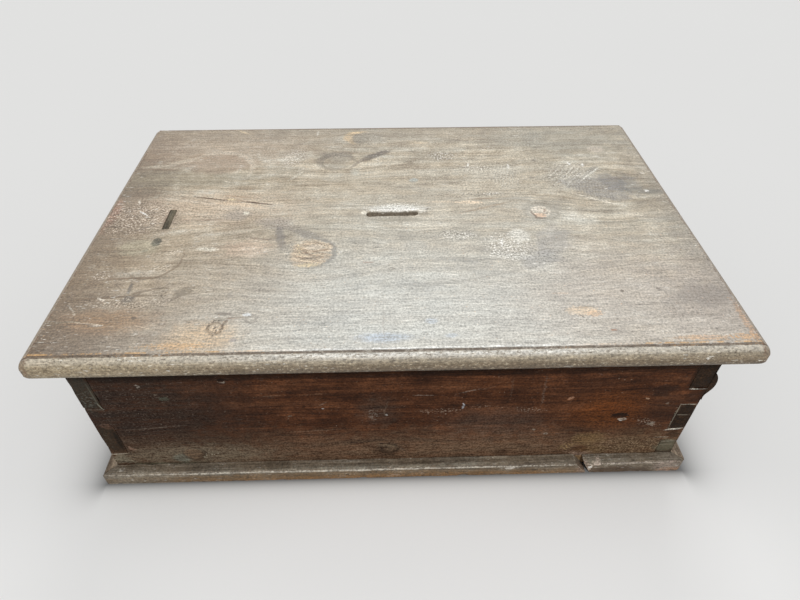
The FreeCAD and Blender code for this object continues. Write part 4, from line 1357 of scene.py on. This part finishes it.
@dataclass
class Lid:
    """The moulded lid board with its slot, plug and battens.

    Attributes:
        pieces: The objects made so far.
    """

    pieces: list[bpy.types.Object] = field(default_factory=list)

    def build(self) -> list[bpy.types.Object]:
        """Makes the lid's pieces.

        Returns:
            Their objects.
        """
        top = LidFinish(
            name="lid_weathered_wood", along=Axis.X, face=Axis.Z, face_at=LID_TOP,
            shades=((140, 126, 106), (183, 172, 153), (212, 205, 190)), end_shade=(118, 98, 76),
            worn=(176, 146, 112), wear=0.35, band=11.0, bands=0.4, fibre=1.5, streaks=0.52, speckle=0.5,
            flecks=0.7, tinting=0.4, end_share=0.4, rough=(0.4, 0.6), specular=0.4, bump=0.3,
            marks=LID_MARKS, knots=LID_KNOTS)
        plug = WoodFinish(
            name="plug_dark_wood", along=Axis.Y, face=Axis.Z, face_at=LID_TOP,
            shades=((64, 58, 49), (98, 92, 79), (128, 120, 103)), end_shade=(80, 72, 60),
            worn=(132, 116, 96), fibre=1.4, streaks=0.4, flecks=0.1, specular=0.1)
        batten = WoodFinish(
            name="batten_wood_aged", along=Axis.Y, face=Axis.Z, face_at=184.5,
            shades=((88, 66, 47), (120, 94, 68), (150, 122, 92)), end_shade=(84, 62, 44),
            worn=(168, 138, 104), band=8.0, flecks=0.1, specular=0.25)
        sides = tuple(side * (LID_END - cut) for cut in CORNER_CUTS for side in (-1.0, 1.0))
        fronts = tuple(cut - LID_SIDE for cut in CORNER_CUTS)
        board = WornBoard("lid_board", "lid", "lid_wood", top.build(), arris=0.7, step=9.0, uneven=0.25,
                          nicks=0.6, keep=lid_edges, seed=1.0, shape=lid_shape, cuts=(sides, fronts, ()))
        self.pieces.append(board.build())
        self.pieces.append(WornBoard("lid_mortise_plug", "lid", "plug_wood", plug.build(), arris=0.4,
                                     step=3.0, uneven=0.3, nicks=0.3, seed=2.0).build())
        wood = batten.build()
        for side, seed in (("left", 3.0), ("right", 4.0)):
            strip = WornBoard("lid_batten_" + side, "lid", "batten_wood", wood, seed=seed)
            self.pieces.append(strip.build())
        return self.pieces


# ---------------------------------------------------------------- the carcase
JOINT_MARKS = (
    Mark((313, 160), (13, 21), (24, 18, 12), 0.75, soft=0.3, ragged=0.2),
    Mark((329, 150), (10, 46), (32, 24, 18), 0.8, soft=0.5, ragged=0.3),
    Mark((313.5, 137.6), (9, 0.7), (196, 192, 180), 0.8, ragged=0.8),
    Mark((314, 126), (9, 10), (40, 26, 19), 0.6),
    Mark((313.5, 88), (10.5, 25), (22, 17, 12), 0.8, soft=0.25, ragged=0.2),
    Mark((313.5, 111.5), (9, 0.8), (168, 162, 148), 0.85),
    Mark((304.2, 92), (0.8, 19), (150, 140, 124), 0.75, ragged=0.8),
    Mark((312, 92.5), (7, 0.7), (132, 126, 112), 0.7, ragged=0.8),
    Mark((314, 72), (6, 1.4), (112, 104, 88), 0.6, specks=1),
    Mark((311, 65.6), (10, 1.2), (210, 204, 190), 0.9, turn=8),
    Mark((314, 55), (8, 6), (34, 27, 20), 0.6),
    Mark((303, 50), (10, 1.3), (136, 124, 108), 0.65, ragged=1),
    Mark((312, 32), (12, 12), (112, 110, 92), 0.6, soft=0.8, ragged=0.8),
    Mark((312, 41.5), (9, 0.9), (146, 140, 124), 0.6, ragged=0.8),
    Mark((312, 35), (9, 0.8), (132, 126, 110), 0.6, ragged=0.8),
    Mark((-319, 150), (12, 29), (52, 51, 44), 0.72, soft=0.5, ragged=0.3),
    Mark((-319, 140), (8, 14), (130, 132, 122), 0.25, specks=1),
    Mark((-319, 146), (10, 24), (24, 22, 18), 0.5, specks=-1),
    Mark((-311, 148), (0.8, 20), (112, 112, 98), 0.34, turn=1, ragged=1),
    Mark((-309.4, 128), (0.8, 7), (136, 136, 122), 0.6, turn=14, ragged=0.8),
    Mark((-318, 124), (8, 1), (110, 106, 94), 0.35, ragged=1),
    Mark((-318, 70), (10, 28), (40, 35, 28), 0.75, soft=0.35, ragged=0.3),
    Mark((-315, 94), (8, 4.6), (92, 68, 55), 0.55, turn=-20, ragged=1),
    Mark((-311, 70), (2.4, 20), (20, 16, 12), 0.75),
    Mark((-322, 68), (4, 20), (96, 88, 74), 0.4, specks=1),
    Mark((-319, 41.2), (9, 1), (170, 160, 142), 0.8, ragged=0.6),
    Mark((-318, 30), (11, 9), (116, 110, 94), 0.7, soft=0.8),
)

FRONT_MARKS = (
    Mark((-272, 110), (82, 116), (41, 34, 29), 0.85, soft=1.2),
    Mark((-276, 112), (58, 58), (100, 90, 80), 0.28, soft=0.9, hatch=(3, 7), specks=1),
    Mark((-276, 112), (58, 58), (24, 19, 16), 0.5, soft=0.9, hatch=(3, 7), specks=-1),
    Mark((0, 28), (430, 40), (108, 88, 70), 0.62, soft=1.4),
    Mark((-196, 112), (56, 70), (50, 37, 29), 0.42, soft=1.3),
    Mark((-230, 34), (80, 20), (112, 104, 88), 0.5, soft=1.2),
    Mark((-250, 29), (10, 8), (104, 108, 98), 0.6, soft=0.8),
    Mark((229, 102), (38, 32), (98, 55, 24), 0.6, soft=1.1),
    Mark((232, 110), (26, 9), (100, 54, 24), 0.4, soft=1),
    Mark((242, 94.6), (9.5, 4), (24, 15, 10), 0.95, soft=0.3, ragged=0.4, height=-0.8),
    Mark((246.5, 87), (4.6, 2.6), (168, 155, 141), 0.8, soft=0.4, ragged=0.6),
    Mark((245, 84.6), (1.6, 1.4), (216, 212, 204), 0.9),
    Mark((276, 80), (13, 5), (150, 139, 125), 0.55, turn=-26, ragged=1.2, specks=1),
    Mark((282, 77), (4, 3), (156, 146, 132), 0.6, turn=-40, ragged=1.2),
    Mark((217, 50), (18, 12), (112, 92, 60), 0.55, soft=1),
    Mark((228, 27), (16, 9), (108, 88, 58), 0.5, soft=1),
    Mark((212, 28), (9, 9), (72, 46, 26), 0.7, soft=0.4, ragged=0.4),
    Mark((194, 35), (8, 7), (150, 126, 88), 0.6, turn=30, hatch=(-52, 5)),
    Mark((214, 11), (16, 12), (150, 128, 112), 0.7, ragged=0.8),
    Mark((270, 35), (46, 24), (104, 84, 62), 0.5, soft=1.2),
    Mark((270, 33), (40, 16), (140, 122, 98), 0.4, soft=1.2, specks=1),
    Mark((-12, 38), (19, 13), (42, 33, 25), 0.75, soft=0.8, specks=-1),
    Mark((-12, 38), (17, 12), (50, 40, 31), 0.5, soft=0.8),
    Mark((-11, 39), (11, 9), (36, 27, 20), 0.65, soft=0.3, ragged=0.3, bite=(0, 0.5, 7.4, 6)),
    Mark((-10, 39), (5, 4), (96, 80, 64), 0.5, soft=0.8),
    Mark((-14, 45), (12, 3), (112, 96, 78), 0.5, turn=-10, ragged=1),
    Mark((-40, 32), (14, 14), (112, 96, 78), 0.4, soft=1, specks=1),
    Mark((-22, 112), (20, 24), (66, 56, 48), 0.5, soft=1.1),
    Mark((-28, 105), (6, 9), (112, 108, 100), 0.42, ragged=1.2, specks=1),
    Mark((-29, 100), (1.6, 2.4), (168, 160, 148), 0.45),
    Mark((-14, 104.5), (1.4, 1.6), (206, 202, 194), 0.65),
    Mark((-14, 118), (1, 14), (98, 84, 72), 0.5, turn=-14, ragged=0.9),
    Mark((68, 117), (1.2, 5), (176, 178, 182), 0.65, ragged=0.8),
    Mark((26, 137), (10, 0.9), (150, 136, 124), 0.3, turn=-3, ragged=1),
    Mark((72, 142), (12, 0.9), (150, 140, 128), 0.28, turn=18, ragged=1),
    Mark((92, 147), (9, 0.8), (112, 98, 86), 0.25, turn=20),
    Mark((42, 109), (22, 4), (136, 124, 110), 0.45, ragged=1, specks=1),
    Mark((90, 115), (14, 2.4), (124, 112, 98), 0.4, ragged=1, specks=1),
    Mark((117, 146), (1, 18), (92, 78, 68), 0.25, ragged=0.9),
    Mark((151, 140), (1.2, 24), (108, 96, 86), 0.3, turn=2, ragged=0.9),
    Mark((140, 108), (16, 4), (150, 140, 126), 0.48, turn=-8, ragged=1.2, specks=1),
    Mark((151, 71), (3, 1.2), (142, 132, 118), 0.7, turn=-40),
    Mark((166, 62.5), (2.4, 2), (132, 122, 110), 0.7),
    Mark((182, 127), (3.4, 2), (154, 116, 92), 0.75, turn=30),
    Mark((105, 85), (52, 26), (96, 78, 66), 0.35, soft=1.3),
    Mark((277, 136), (13, 10), (40, 27, 21), 0.75, ragged=0.8),
    Mark((288, 106), (18, 26), (44, 30, 23), 0.45, soft=1.1),
    Mark((264, 123), (2.2, 1.4), (176, 146, 120), 0.8, turn=-30),
    Mark((289, 114), (2.2, 1.4), (112, 100, 88), 0.7, turn=-30),
    Mark((-234, 36), (11, 12), (98, 76, 58), 0.65, turn=40, soft=0.4, ragged=0.4),
    Mark((-234, 38), (13, 14), (40, 30, 24), 0.6, turn=40, soft=0.25, ragged=0.3, bite=(-1, 2, 11, 11.5)),
    Mark((-216, 35), (9, 5), (134, 132, 116), 0.5, turn=30, ragged=1.3, specks=1),
    Mark((-300, 53), (4, 4), (134, 108, 92), 0.6, turn=-40, ragged=1, bite=(1.6, 1.6, 3.4, 3)),
    Mark((-177.5, 166), (3.4, 2.4), (118, 110, 100), 0.8, bite=(0, 1.6, 3.4, 2)),
    Mark((-177.5, 168.5), (4, 2.2), (12, 9, 7), 0.9, height=-0.5),
    Mark((-262, 161), (1.6, 3), (136, 128, 118), 0.7, ragged=0.8),
    Mark((-249, 147), (1.8, 1.4), (126, 114, 100), 0.7),
    Mark((-241, 140), (6, 3), (80, 86, 74), 0.5),
    Mark((-132, 141), (10, 1), (104, 82, 66), 0.55, turn=3, ragged=1),
    Mark((-90, 142), (16, 0.9), (104, 78, 60), 0.55, turn=6, ragged=1),
    Mark((-80, 126), (6, 0.9), (100, 84, 72), 0.6, turn=36),
    Mark((-81, 118), (1.4, 1.2), (156, 150, 146), 0.8),
    Mark((-117, 106), (3, 1.2), (112, 104, 92), 0.6, turn=30),
    Mark((-100, 122), (1.6, 3), (26, 17, 12), 0.7),
    Mark((-97, 78), (34, 0.9), (104, 84, 68), 0.5, turn=4, ragged=1),
    Mark((120, 28), (10, 8), (50, 38, 29), 0.6, soft=0.8, ragged=0.8),
    Mark((84, 38), (80, 12), (104, 84, 66), 0.4, soft=1.2),
    Mark((-265, 90), (34, 1), (92, 82, 72), 0.6, turn=6),
    Mark((-262, 86), (34, 1.2), (26, 20, 16), 0.6, turn=6),
    Mark((-280, 19), (50, 2.6), (64, 68, 54), 0.6, ragged=0.8),
    # painted shadow of the lid's overhang: a dark band across the top of the front board
    Mark((0, 190), (3000, 23), (24, 15, 9), 0.5, soft=0.1, ragged=0.04, grainy=False),
)


@dataclass(frozen=True)
class PinFinish(WoodFinish):
    """The end boards' wood, with marks on the pins that show at the front.

    Attributes:
        joints: The marks, placed on the front face.
        joints_at: Where that face lies.
    """

    joints: tuple[Mark, ...] = JOINT_MARKS
    joints_at: float = FRONT_FACE

    def over(self, graph: Graph, colour: Field) -> Field:
        """Lays the joints' marks over the pins.

        Args:
            graph: The material's graph.
            colour: The wood's colour.

        Returns:
            The new colour.
        """
        x, y, z = graph.split(graph.place)
        place = graph.join(x, z, y)
        coarse, fine = frays(graph, place)
        grain = Grain(place, coarse, fine, fine * 0.4, graph.spread(fine, -0.5, 0.3, 0.5, 1.0))
        front = replace(self, face_at=self.joints_at)
        for mark in self.joints:
            colour = graph.mix(front.mark_share(graph, grain, mark), colour, linear(mark.colour))
        return colour


@dataclass
class Carcase:
    """The dovetailed front, back and ends, the ogee strip and the bottom boards.

    Attributes:
        pieces: The objects made so far.
    """

    pieces: list[bpy.types.Object] = field(default_factory=list)

    def build(self) -> list[bpy.types.Object]:
        """Makes the carcase's pieces.

        Returns:
            Their objects.
        """
        front = WoodFinish(
            name="front_stained_wood", along=Axis.X, face=Axis.Y, face_at=FRONT_FACE,
            shades=((42, 23, 13), (66, 39, 24), (92, 58, 38)), end_shade=(50, 40, 30), worn=(104, 84, 66),
            wear=0.35, band=12.0, fibre=1.4, streaks=0.6, speckle=0.6, flecks=0.04, rough=(0.55, 0.75),
            specular=0.05, bump=0.3, marks=FRONT_MARKS + JOINT_MARKS,
            knots=(Knot((-11, 39), (44, 22), 0.7, 1.8, (15, 11)),
                   Knot((-232.5, 38), (40, 22), 0.7, 1.4, (13, 11)),
                   Knot((277, 136), (40, 20), 0.6, 1.3, (11, 9)),
                   Knot((120, 28), (34, 16), 0.6, 1.2, (9, 8)),
                   Knot((241, 96), (40, 22), 0.55)))
        ends = PinFinish(
            name="end_stained_wood", along=Axis.Y, face=Axis.X, face_at=RIGHT_FACE,
            shades=((46, 31, 22), (68, 46, 32), (92, 66, 46)), end_shade=(46, 40, 31), worn=(108, 90, 70),
            wear=0.4, band=13.0, streaks=0.5, flecks=0.05, specular=0.05, bump=0.3)
        back = WoodFinish(
            name="back_stained_wood", along=Axis.X, face=Axis.Y, face_at=BACK_FACE,
            shades=((48, 33, 23), (72, 50, 34), (98, 72, 50)), end_shade=(50, 40, 30), worn=(112, 92, 70),
            wear=0.35, band=14.0, streaks=0.5, flecks=0.1, specular=0.12, bump=0.3,
            knots=(Knot((-90, 110), (44, 26), 0.7, 1.8, (14, 12)),
                   Knot((170, 70), (40, 22), 0.7, 1.5, (11, 9))))
        bottom = WoodFinish(
            name="bottom_plain_wood", along=Axis.X, face=Axis.Z, face_at=15.0,
            shades=((104, 80, 56), (140, 112, 82), (172, 144, 110)), end_shade=(92, 68, 48),
            worn=(180, 152, 118), wear=0.3, band=14.0, streaks=0.5, flecks=0.05, specular=0.2,
            knots=(Knot((-120, -90), (44, 24), 0.75, 2, (12, 10)),
                   Knot((140, 90), (50, 26), 0.75, 1.8, (14, 11))))
        end_wood = ends.build()
        rows = (
            ("front_board", "carcase_wood", front.build(), 0.7, 11.0),
            ("back_board", "carcase_wood", back.build(), 0.6, 12.0),
            ("left_end_board", "carcase_wood", end_wood, 0.6, 13.0),
            ("right_end_board", "carcase_wood", end_wood, 0.6, 14.0),
            ("right_end_ogee_strip", "carcase_wood", end_wood, 0.5, 15.0),
        )
        for node, slot, wood, arris, seed in rows:
            self.pieces.append(WornBoard(node, "box", slot, wood, arris=arris, seed=seed, nicks=0.7).build())
        floor = bottom.build()
        for node, seed in (("bottom_board_front", 16.0), ("bottom_board_rear", 17.0)):
            self.pieces.append(WornBoard(node, "box", "bottom_wood", floor, arris=0.5, seed=seed).build())
        return self.pieces


# ---------------------------------------------------------------- the plinth
PLINTH_MARKS = (
    Mark((-60, 23.5), (300, 4.4), (92, 96, 88), 0.6, soft=0.5),
    Mark((-60, 7), (270, 9), (124, 98, 68), 0.6, soft=0.7),
    Mark((20, 1.5), (220, 6), (136, 98, 58), 0.6, soft=1),
    Mark((-70, 17), (285, 0.9), (200, 193, 180), 0.58, soft=0.7, ragged=0.9),
    Mark((285, 17.4), (46, 0.9), (180, 168, 155), 0.5, soft=0.7, ragged=1),
    Mark((-300, 10), (36, 9), (128, 118, 102), 0.5, soft=1),
    Mark((262, 4), (42, 9), (74, 58, 47), 0.8, soft=0.7),
    Mark((316, 9), (18, 10), (146, 130, 120), 0.6, ragged=0.9),
    Mark((322, 4), (14, 4), (168, 126, 96), 0.5, ragged=1),
    Mark((216, 10), (6, 12), (140, 118, 102), 0.7, ragged=0.8),
    Mark((224, 9), (1.8, 9), (196, 180, 164), 0.7, turn=-14, ragged=0.8),
    Mark((224.5, 12), (2.4, 2.2), (236, 232, 224), 0.9, soft=0.4),
    Mark((232, 17.5), (5, 2), (196, 178, 164), 0.6, turn=12, ragged=1),
    Mark((158, 9), (3, 2.4), (52, 44, 38), 0.6, ragged=1),
    Mark((130, 14), (8, 2), (206, 200, 190), 0.6, ragged=1),
)

# How far the plinth's edge is worn round, how near half its height its sprig holes lie and how long the
# edges beside them are at least, where its front is broken, and from what height its torn ends are rough
EDGE_WEAR = 4.2
EDGE_CUTS = tuple(PLINTH_TOP - EDGE_WEAR * share for share in (0.1, 0.3, 0.55, 1.0))
HOLE_ROOM = 7.0
STRIP_EDGE = 0.012
BREAK = (203.0, 228.0)
TORN_FROM = 3.0


def plinth_edges(middle: Vector, length: float) -> bool:
    """Keeps the strips' own edges, and leaves the rims of the sprig holes half way up them."""
    return length > HOLE_EDGE and (abs(middle.z - PLINTH_TOP / 2.0) > HOLE_ROOM or length > STRIP_EDGE)


def plinth_shape(place: Vector) -> Vector:
    """Rounds the plinth's upper outer edge, and roughens the torn ends at the break in its front.

    Args:
        place: A point of the mesh, in metres.

    Returns:
        Where it goes.
    """
    x, y, z = place / MM
    rise = (z - (PLINTH_TOP - EDGE_WEAR)) / EDGE_WEAR
    if rise > 0.0:
        drop = EDGE_WEAR * (1.0 - math.sqrt(max(0.0, 1.0 - min(rise, 1.0) ** 2)))
        x = min(max(x, PLINTH_LEFT + drop), PLINTH_RIGHT - drop)
        y = max(y, PLINTH_FRONT + drop)
    if BREAK[0] < x < BREAK[1]:
        rip = noise.noise(Vector((y * 0.35, z * 0.3, x * 0.05))) * 1.3
        rip += noise.noise(Vector((y * 0.9, z * 0.9, 5.0))) * 0.6
        x += rip * min(1.0, z / TORN_FROM)
    return Vector((x, y, z)) * MM


@dataclass
class Plinth:
    """The plinth's four strips.

    Attributes:
        pieces: The objects made so far.
    """

    pieces: list[bpy.types.Object] = field(default_factory=list)

    def build(self) -> list[bpy.types.Object]:
        """Makes the plinth's pieces.

        Returns:
            Their objects.
        """
        front = WoodFinish(
            name="plinth_front_wood", along=Axis.X, face=Axis.Y, face_at=PLINTH_FRONT,
            shades=((74, 64, 53), (101, 90, 77), (130, 121, 107)), end_shade=(120, 100, 84),
            worn=(196, 186, 172), wear=0.9, band=5.0, fibre=0.9, streaks=0.6, flecks=0.35, specular=0.2,
            bump=0.35, marks=PLINTH_MARKS)
        sides = WoodFinish(
            name="plinth_end_wood", along=Axis.Y, face=Axis.X, face_at=PLINTH_RIGHT,
            shades=((80, 68, 56), (112, 98, 84), (146, 134, 118)), end_shade=(104, 92, 78),
            worn=(190, 176, 156), wear=0.8, band=5.0, fibre=0.9, streaks=0.6, specular=0.2, bump=0.35)
        front_wood, side_wood = front.build(), sides.build()
        across = (EDGE_WEAR * 0.5, EDGE_WEAR * 1.1)
        side_cuts = tuple(PLINTH_LEFT + cut for cut in across) + tuple(PLINTH_RIGHT - cut for cut in across)
        front_cuts = tuple(PLINTH_FRONT + cut for cut in across)
        rows = (
            ("plinth_front_long", front_wood, 21.0),
            ("plinth_front_short", front_wood, 22.0),
            ("plinth_left", side_wood, 23.0),
            ("plinth_right", side_wood, 24.0),
        )
        for node, wood, seed in rows:
            self.pieces.append(WornBoard(node, "box", "plinth_wood", wood, arris=0.5, step=5.0, uneven=0.5,
                                         nicks=1.0, keep=plinth_edges, seed=seed, shape=plinth_shape,
                                         cuts=(side_cuts, front_cuts, EDGE_CUTS)).build())
        return self.pieces


# ---------------------------------------------------------------- the ironwork
@dataclass
class Ironwork:
    """The hinges, screws and nails, which keep their CAD shapes.

    Attributes:
        hinge_nodes: The nodes of the hinges and their screws.
        nail_nodes: The nodes of the other nails and sprigs.
        filled_nodes: The nodes of the sprigs whose heads are dulled by dust.
    """

    hinge_nodes: tuple[str, ...] = (
        "hinge_left_box_leaf", "hinge_left_lid_leaf", "hinge_left_pin", "hinge_right_box_leaf",
        "hinge_right_lid_leaf", "hinge_right_pin", "hinge_box_screws", "hinge_lid_screws")
    nail_nodes: tuple[str, ...] = ("bottom_nails", "ogee_sprigs", "lid_batten_nails")
    filled_nodes: tuple[str, ...] = ("plinth_sprigs",)

    def build(self) -> int:
        """Gives the iron nodes their material.

        Returns:
            How many nodes have it.
        """
        hinge = IronFinish("hinge_rusty_iron").build()
        nail = IronFinish("nail_dark_iron", shades=((22, 18, 15), (42, 34, 28), (66, 56, 47)),
                          rust=(78, 48, 30)).build()
        filled = IronFinish("sprig_dusty_iron", shades=((74, 64, 53), (98, 86, 72), (120, 108, 92)),
                            rust=(104, 86, 66)).build()
        sets = ((self.hinge_nodes, hinge), (self.nail_nodes, nail), (self.filled_nodes, filled))
        for names, material in sets:
            for name in names:
                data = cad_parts[name].data
                data.materials.clear()
                data.materials.append(material)
        return sum(len(names) for names, _ in sets)


# ---------------------------------------------------------------- studio
@dataclass
class Studio:
    """The pale floor with its painted contact shade and painted pool of light, the soft light and the
    camera.

    Attributes:
        eye: The camera's place, in mm.
        pitch: How far it looks down, in degrees.
        yaw: How far it is turned to the left, in degrees.
        roll: How far it is tilted, in degrees.
        lens: Its focal length, in mm.
        sensor: The width of its sensor, in mm.
        clip: The nearest and the farthest that it sees, in metres.
        sun_power: The strength of the key light.
        sun_height: The key light's height above the horizon, in degrees.
        sun_turn: How far the key light stands to the left of the front, in degrees.
        sun_width: How wide the key light is in the sky, in degrees.
        sky: The brightness of the light from all round.
        backdrop: The colour seen beyond the floor.
        floor_half: Half the floor's width, in metres.
        floor_drop: How far the floor lies under the box, in metres.
        floor_tone: The floor's colour.
        painted_light_tone: The colour of the painted pool of light on the floor before the box.
        painted_light_at: The middle of that painted pool of light, in metres.
        painted_light_size: Its half sizes, in metres.
        contact_depth: How much darker the painted contact shade makes the floor where the plinth stands on
            it.
        contact_front: How far that painted shade reaches before the plinth, in mm.
        contact_side: How far it reaches beside it, in mm.
        contact_blend: Where beside the plinth the shade's reach is half way to its own, in metres.
        rim_power: The strength of the light from behind.
        rim_height: That light's height above the horizon, in degrees.
        rim_turn: How far that light stands to the left of the back, in degrees.
        rim_width: How wide that light is in the sky, in degrees.
    """

    eye: tuple[float, float, float] = (-9.7, -573.8, 618.2)
    pitch: float = 42.874
    yaw: float = -1.631
    roll: float = 0.087
    lens: float = 26.02
    sensor: float = 36.0
    clip: Pair = (0.02, 60.0)
    sun_power: float = 2.0
    sun_height: float = 54.5
    sun_turn: float = 4.0
    sun_width: float = 4.5
    sky: float = 0.42
    backdrop: Rgb = (225, 225, 223)
    floor_half: float = 12.0
    floor_drop: float = 0.0002
    floor_tone: Rgb = (220, 220, 219)
    painted_light_tone: Rgb = (240, 240, 239)
    painted_light_at: tuple[float, float, float] = (0.0, -0.34, 0.0)
    painted_light_size: tuple[float, float, float] = (0.6, 0.22, 1.0)
    contact_depth: float = 0.48
    contact_front: float = 7.0
    contact_side: float = 18.0
    contact_blend: float = 0.0006
    rim_power: float = 0.5
    rim_height: float = 47.0
    rim_turn: float = -8.0
    rim_width: float = 24.0

    def camera(self) -> None:
        """Places the camera."""
        data = bpy.data.cameras.new("camera")
        data.lens = self.lens
        data.sensor_width = self.sensor
        data.clip_start, data.clip_end = self.clip
        eye = bpy.data.objects.new("camera", data)
        bpy.context.scene.collection.objects.link(eye)
        turn = (Matrix.Rotation(math.radians(self.yaw), 4, "Z")
                @ Matrix.Rotation(math.radians(90.0 - self.pitch), 4, "X")
                @ Matrix.Rotation(math.radians(self.roll), 4, "Z"))
        eye.matrix_world = Matrix.Translation(Vector(self.eye) * MM) @ turn
        bpy.context.scene.camera = eye

    def lamp(self, name: str, power: float, width: float, height: float, turn: float) -> None:
        """Adds a distant lamp.

        Args:
            name: Its name.
            power: Its strength.
            width: How wide it is in the sky, in degrees.
            height: Its height above the horizon, in degrees.
            turn: How far it stands to the left of the front, in degrees.
        """
        data = bpy.data.lights.new(name, "SUN")
        data.energy = power
        data.angle = math.radians(width)
        sun = bpy.data.objects.new(name, data)
        bpy.context.scene.collection.objects.link(sun)
        up, left = math.radians(height), math.radians(turn)
        towards = Vector((-math.sin(left) * math.cos(up), -math.cos(left) * math.cos(up), math.sin(up)))
        sun.rotation_euler = towards.to_track_quat("Z", "Y").to_euler()

    def lights(self) -> None:
        """Adds the key light, the light from behind, and the light from all round."""
        self.lamp("key_light", self.sun_power, self.sun_width, self.sun_height, self.sun_turn)
        self.lamp("rim_light", self.rim_power, self.rim_width, self.rim_height, 180.0 - self.rim_turn)
        world = bpy.data.worlds.new("studio")
        bpy.context.scene.world = world
        world.use_nodes = True
        tree = world.node_tree
        tree.nodes.clear()
        path = tree.nodes.new("ShaderNodeLightPath")
        shown = path.outputs["Is Camera Ray"]
        for ray in ("Is Glossy Ray", "Is Transmission Ray"):
            either = tree.nodes.new("ShaderNodeMath")
            either.operation = "MAXIMUM"
            tree.links.new(shown, either.inputs[0])
            tree.links.new(path.outputs[ray], either.inputs[1])
            shown = either.outputs[0]
        seen = tree.nodes.new("ShaderNodeBackground")
        seen.inputs["Color"].default_value = linear(self.backdrop)
        light = tree.nodes.new("ShaderNodeBackground")
        light.inputs["Color"].default_value = (1.0, 1.0, 1.0, 1.0)
        light.inputs["Strength"].default_value = self.sky
        both = tree.nodes.new("ShaderNodeMixShader")
        output = tree.nodes.new("ShaderNodeOutputWorld")
        tree.links.new(shown, both.inputs[0])
        tree.links.new(light.outputs[0], both.inputs[1])
        tree.links.new(seen.outputs[0], both.inputs[2])
        tree.links.new(both.outputs[0], output.inputs["Surface"])

    def paper(self) -> bpy.types.Material:
        """Makes the floor's pale paper, with a painted pool of light before the box and a painted contact
        shade round the plinth.

        Returns:
            The material.
        """
        graph = Graph("floor_paper")
        x, y, _ = graph.split(graph.place)
        middle_x = (PLINTH_RIGHT + PLINTH_LEFT) / 2.0 * MM
        half_x = (PLINTH_RIGHT - PLINTH_LEFT) / 2.0 * MM
        middle_y = (BACK_FACE + PLINTH_FRONT) / 2.0 * MM
        half_y = (BACK_FACE - PLINTH_FRONT) / 2.0 * MM
        # painted contact shade round the plinth, reaching farther beside it than before it
        off_x = graph.math("MAXIMUM", graph.math("ABSOLUTE", x - middle_x) - half_x, 0.0)
        off_y = graph.math("MAXIMUM", graph.math("ABSOLUTE", y - middle_y) - half_y, 0.0)
        away = graph.math("SQRT", off_x * off_x + off_y * off_y)
        beside = graph.math("DIVIDE", off_x, off_x + off_y + self.contact_blend)
        reach = beside * ((self.contact_side - self.contact_front) * MM) + self.contact_front * MM
        fade = graph.math("EXPONENT", graph.math("DIVIDE", away, reach) * -1.0)
        level = graph.math("POWER", 1.0 - fade * self.contact_depth, 2.2)
        level = level * (graph.noise(graph.place, 3.0) * 0.01 + 0.995)
        # painted pool of light on the floor before the box
        painted_pool = graph.ball(graph.place, self.painted_light_at, 0.0, self.painted_light_size, 1.0)
        paper = graph.mix(graph.spread(painted_pool, 0.0, 0.75), linear(self.floor_tone), linear(self.painted_light_tone))
        colour = graph.mix(1.0, paper, level, "MULTIPLY")
        return graph.finish(colour, 0.9, 0.0)

    def floor(self) -> None:
        """Lays the floor."""
        mesh = bmesh.new()
        bmesh.ops.create_grid(mesh, x_segments=8, y_segments=8, size=self.floor_half)
        bmesh.ops.translate(mesh, verts=mesh.verts, vec=(0.0, 0.0, -self.floor_drop))
        data = bpy.data.meshes.new("floor")
        mesh.to_mesh(data)
        mesh.free()
        data.materials.append(self.paper())
        floor = bpy.data.objects.new("floor", data)
        bpy.context.scene.collection.objects.link(floor)

    def build(self) -> None:
        """Makes the whole studio."""
        self.camera()
        self.lights()
        self.floor()
        bpy.context.scene.view_settings.view_transform = "Standard"


def main() -> None:
    """Builds the looks in order and logs how many pieces or nodes each part has."""
    logging.basicConfig(level=logging.INFO, format="%(name)s: %(message)s")
    Studio().build()
    LOG.info("lid: %d pieces", len(Lid().build()))
    LOG.info("carcase: %d pieces", len(Carcase().build()))
    LOG.info("plinth: %d pieces", len(Plinth().build()))
    LOG.info("ironwork: %d nodes", Ironwork().build())


if __name__ == "__main__":
    main()
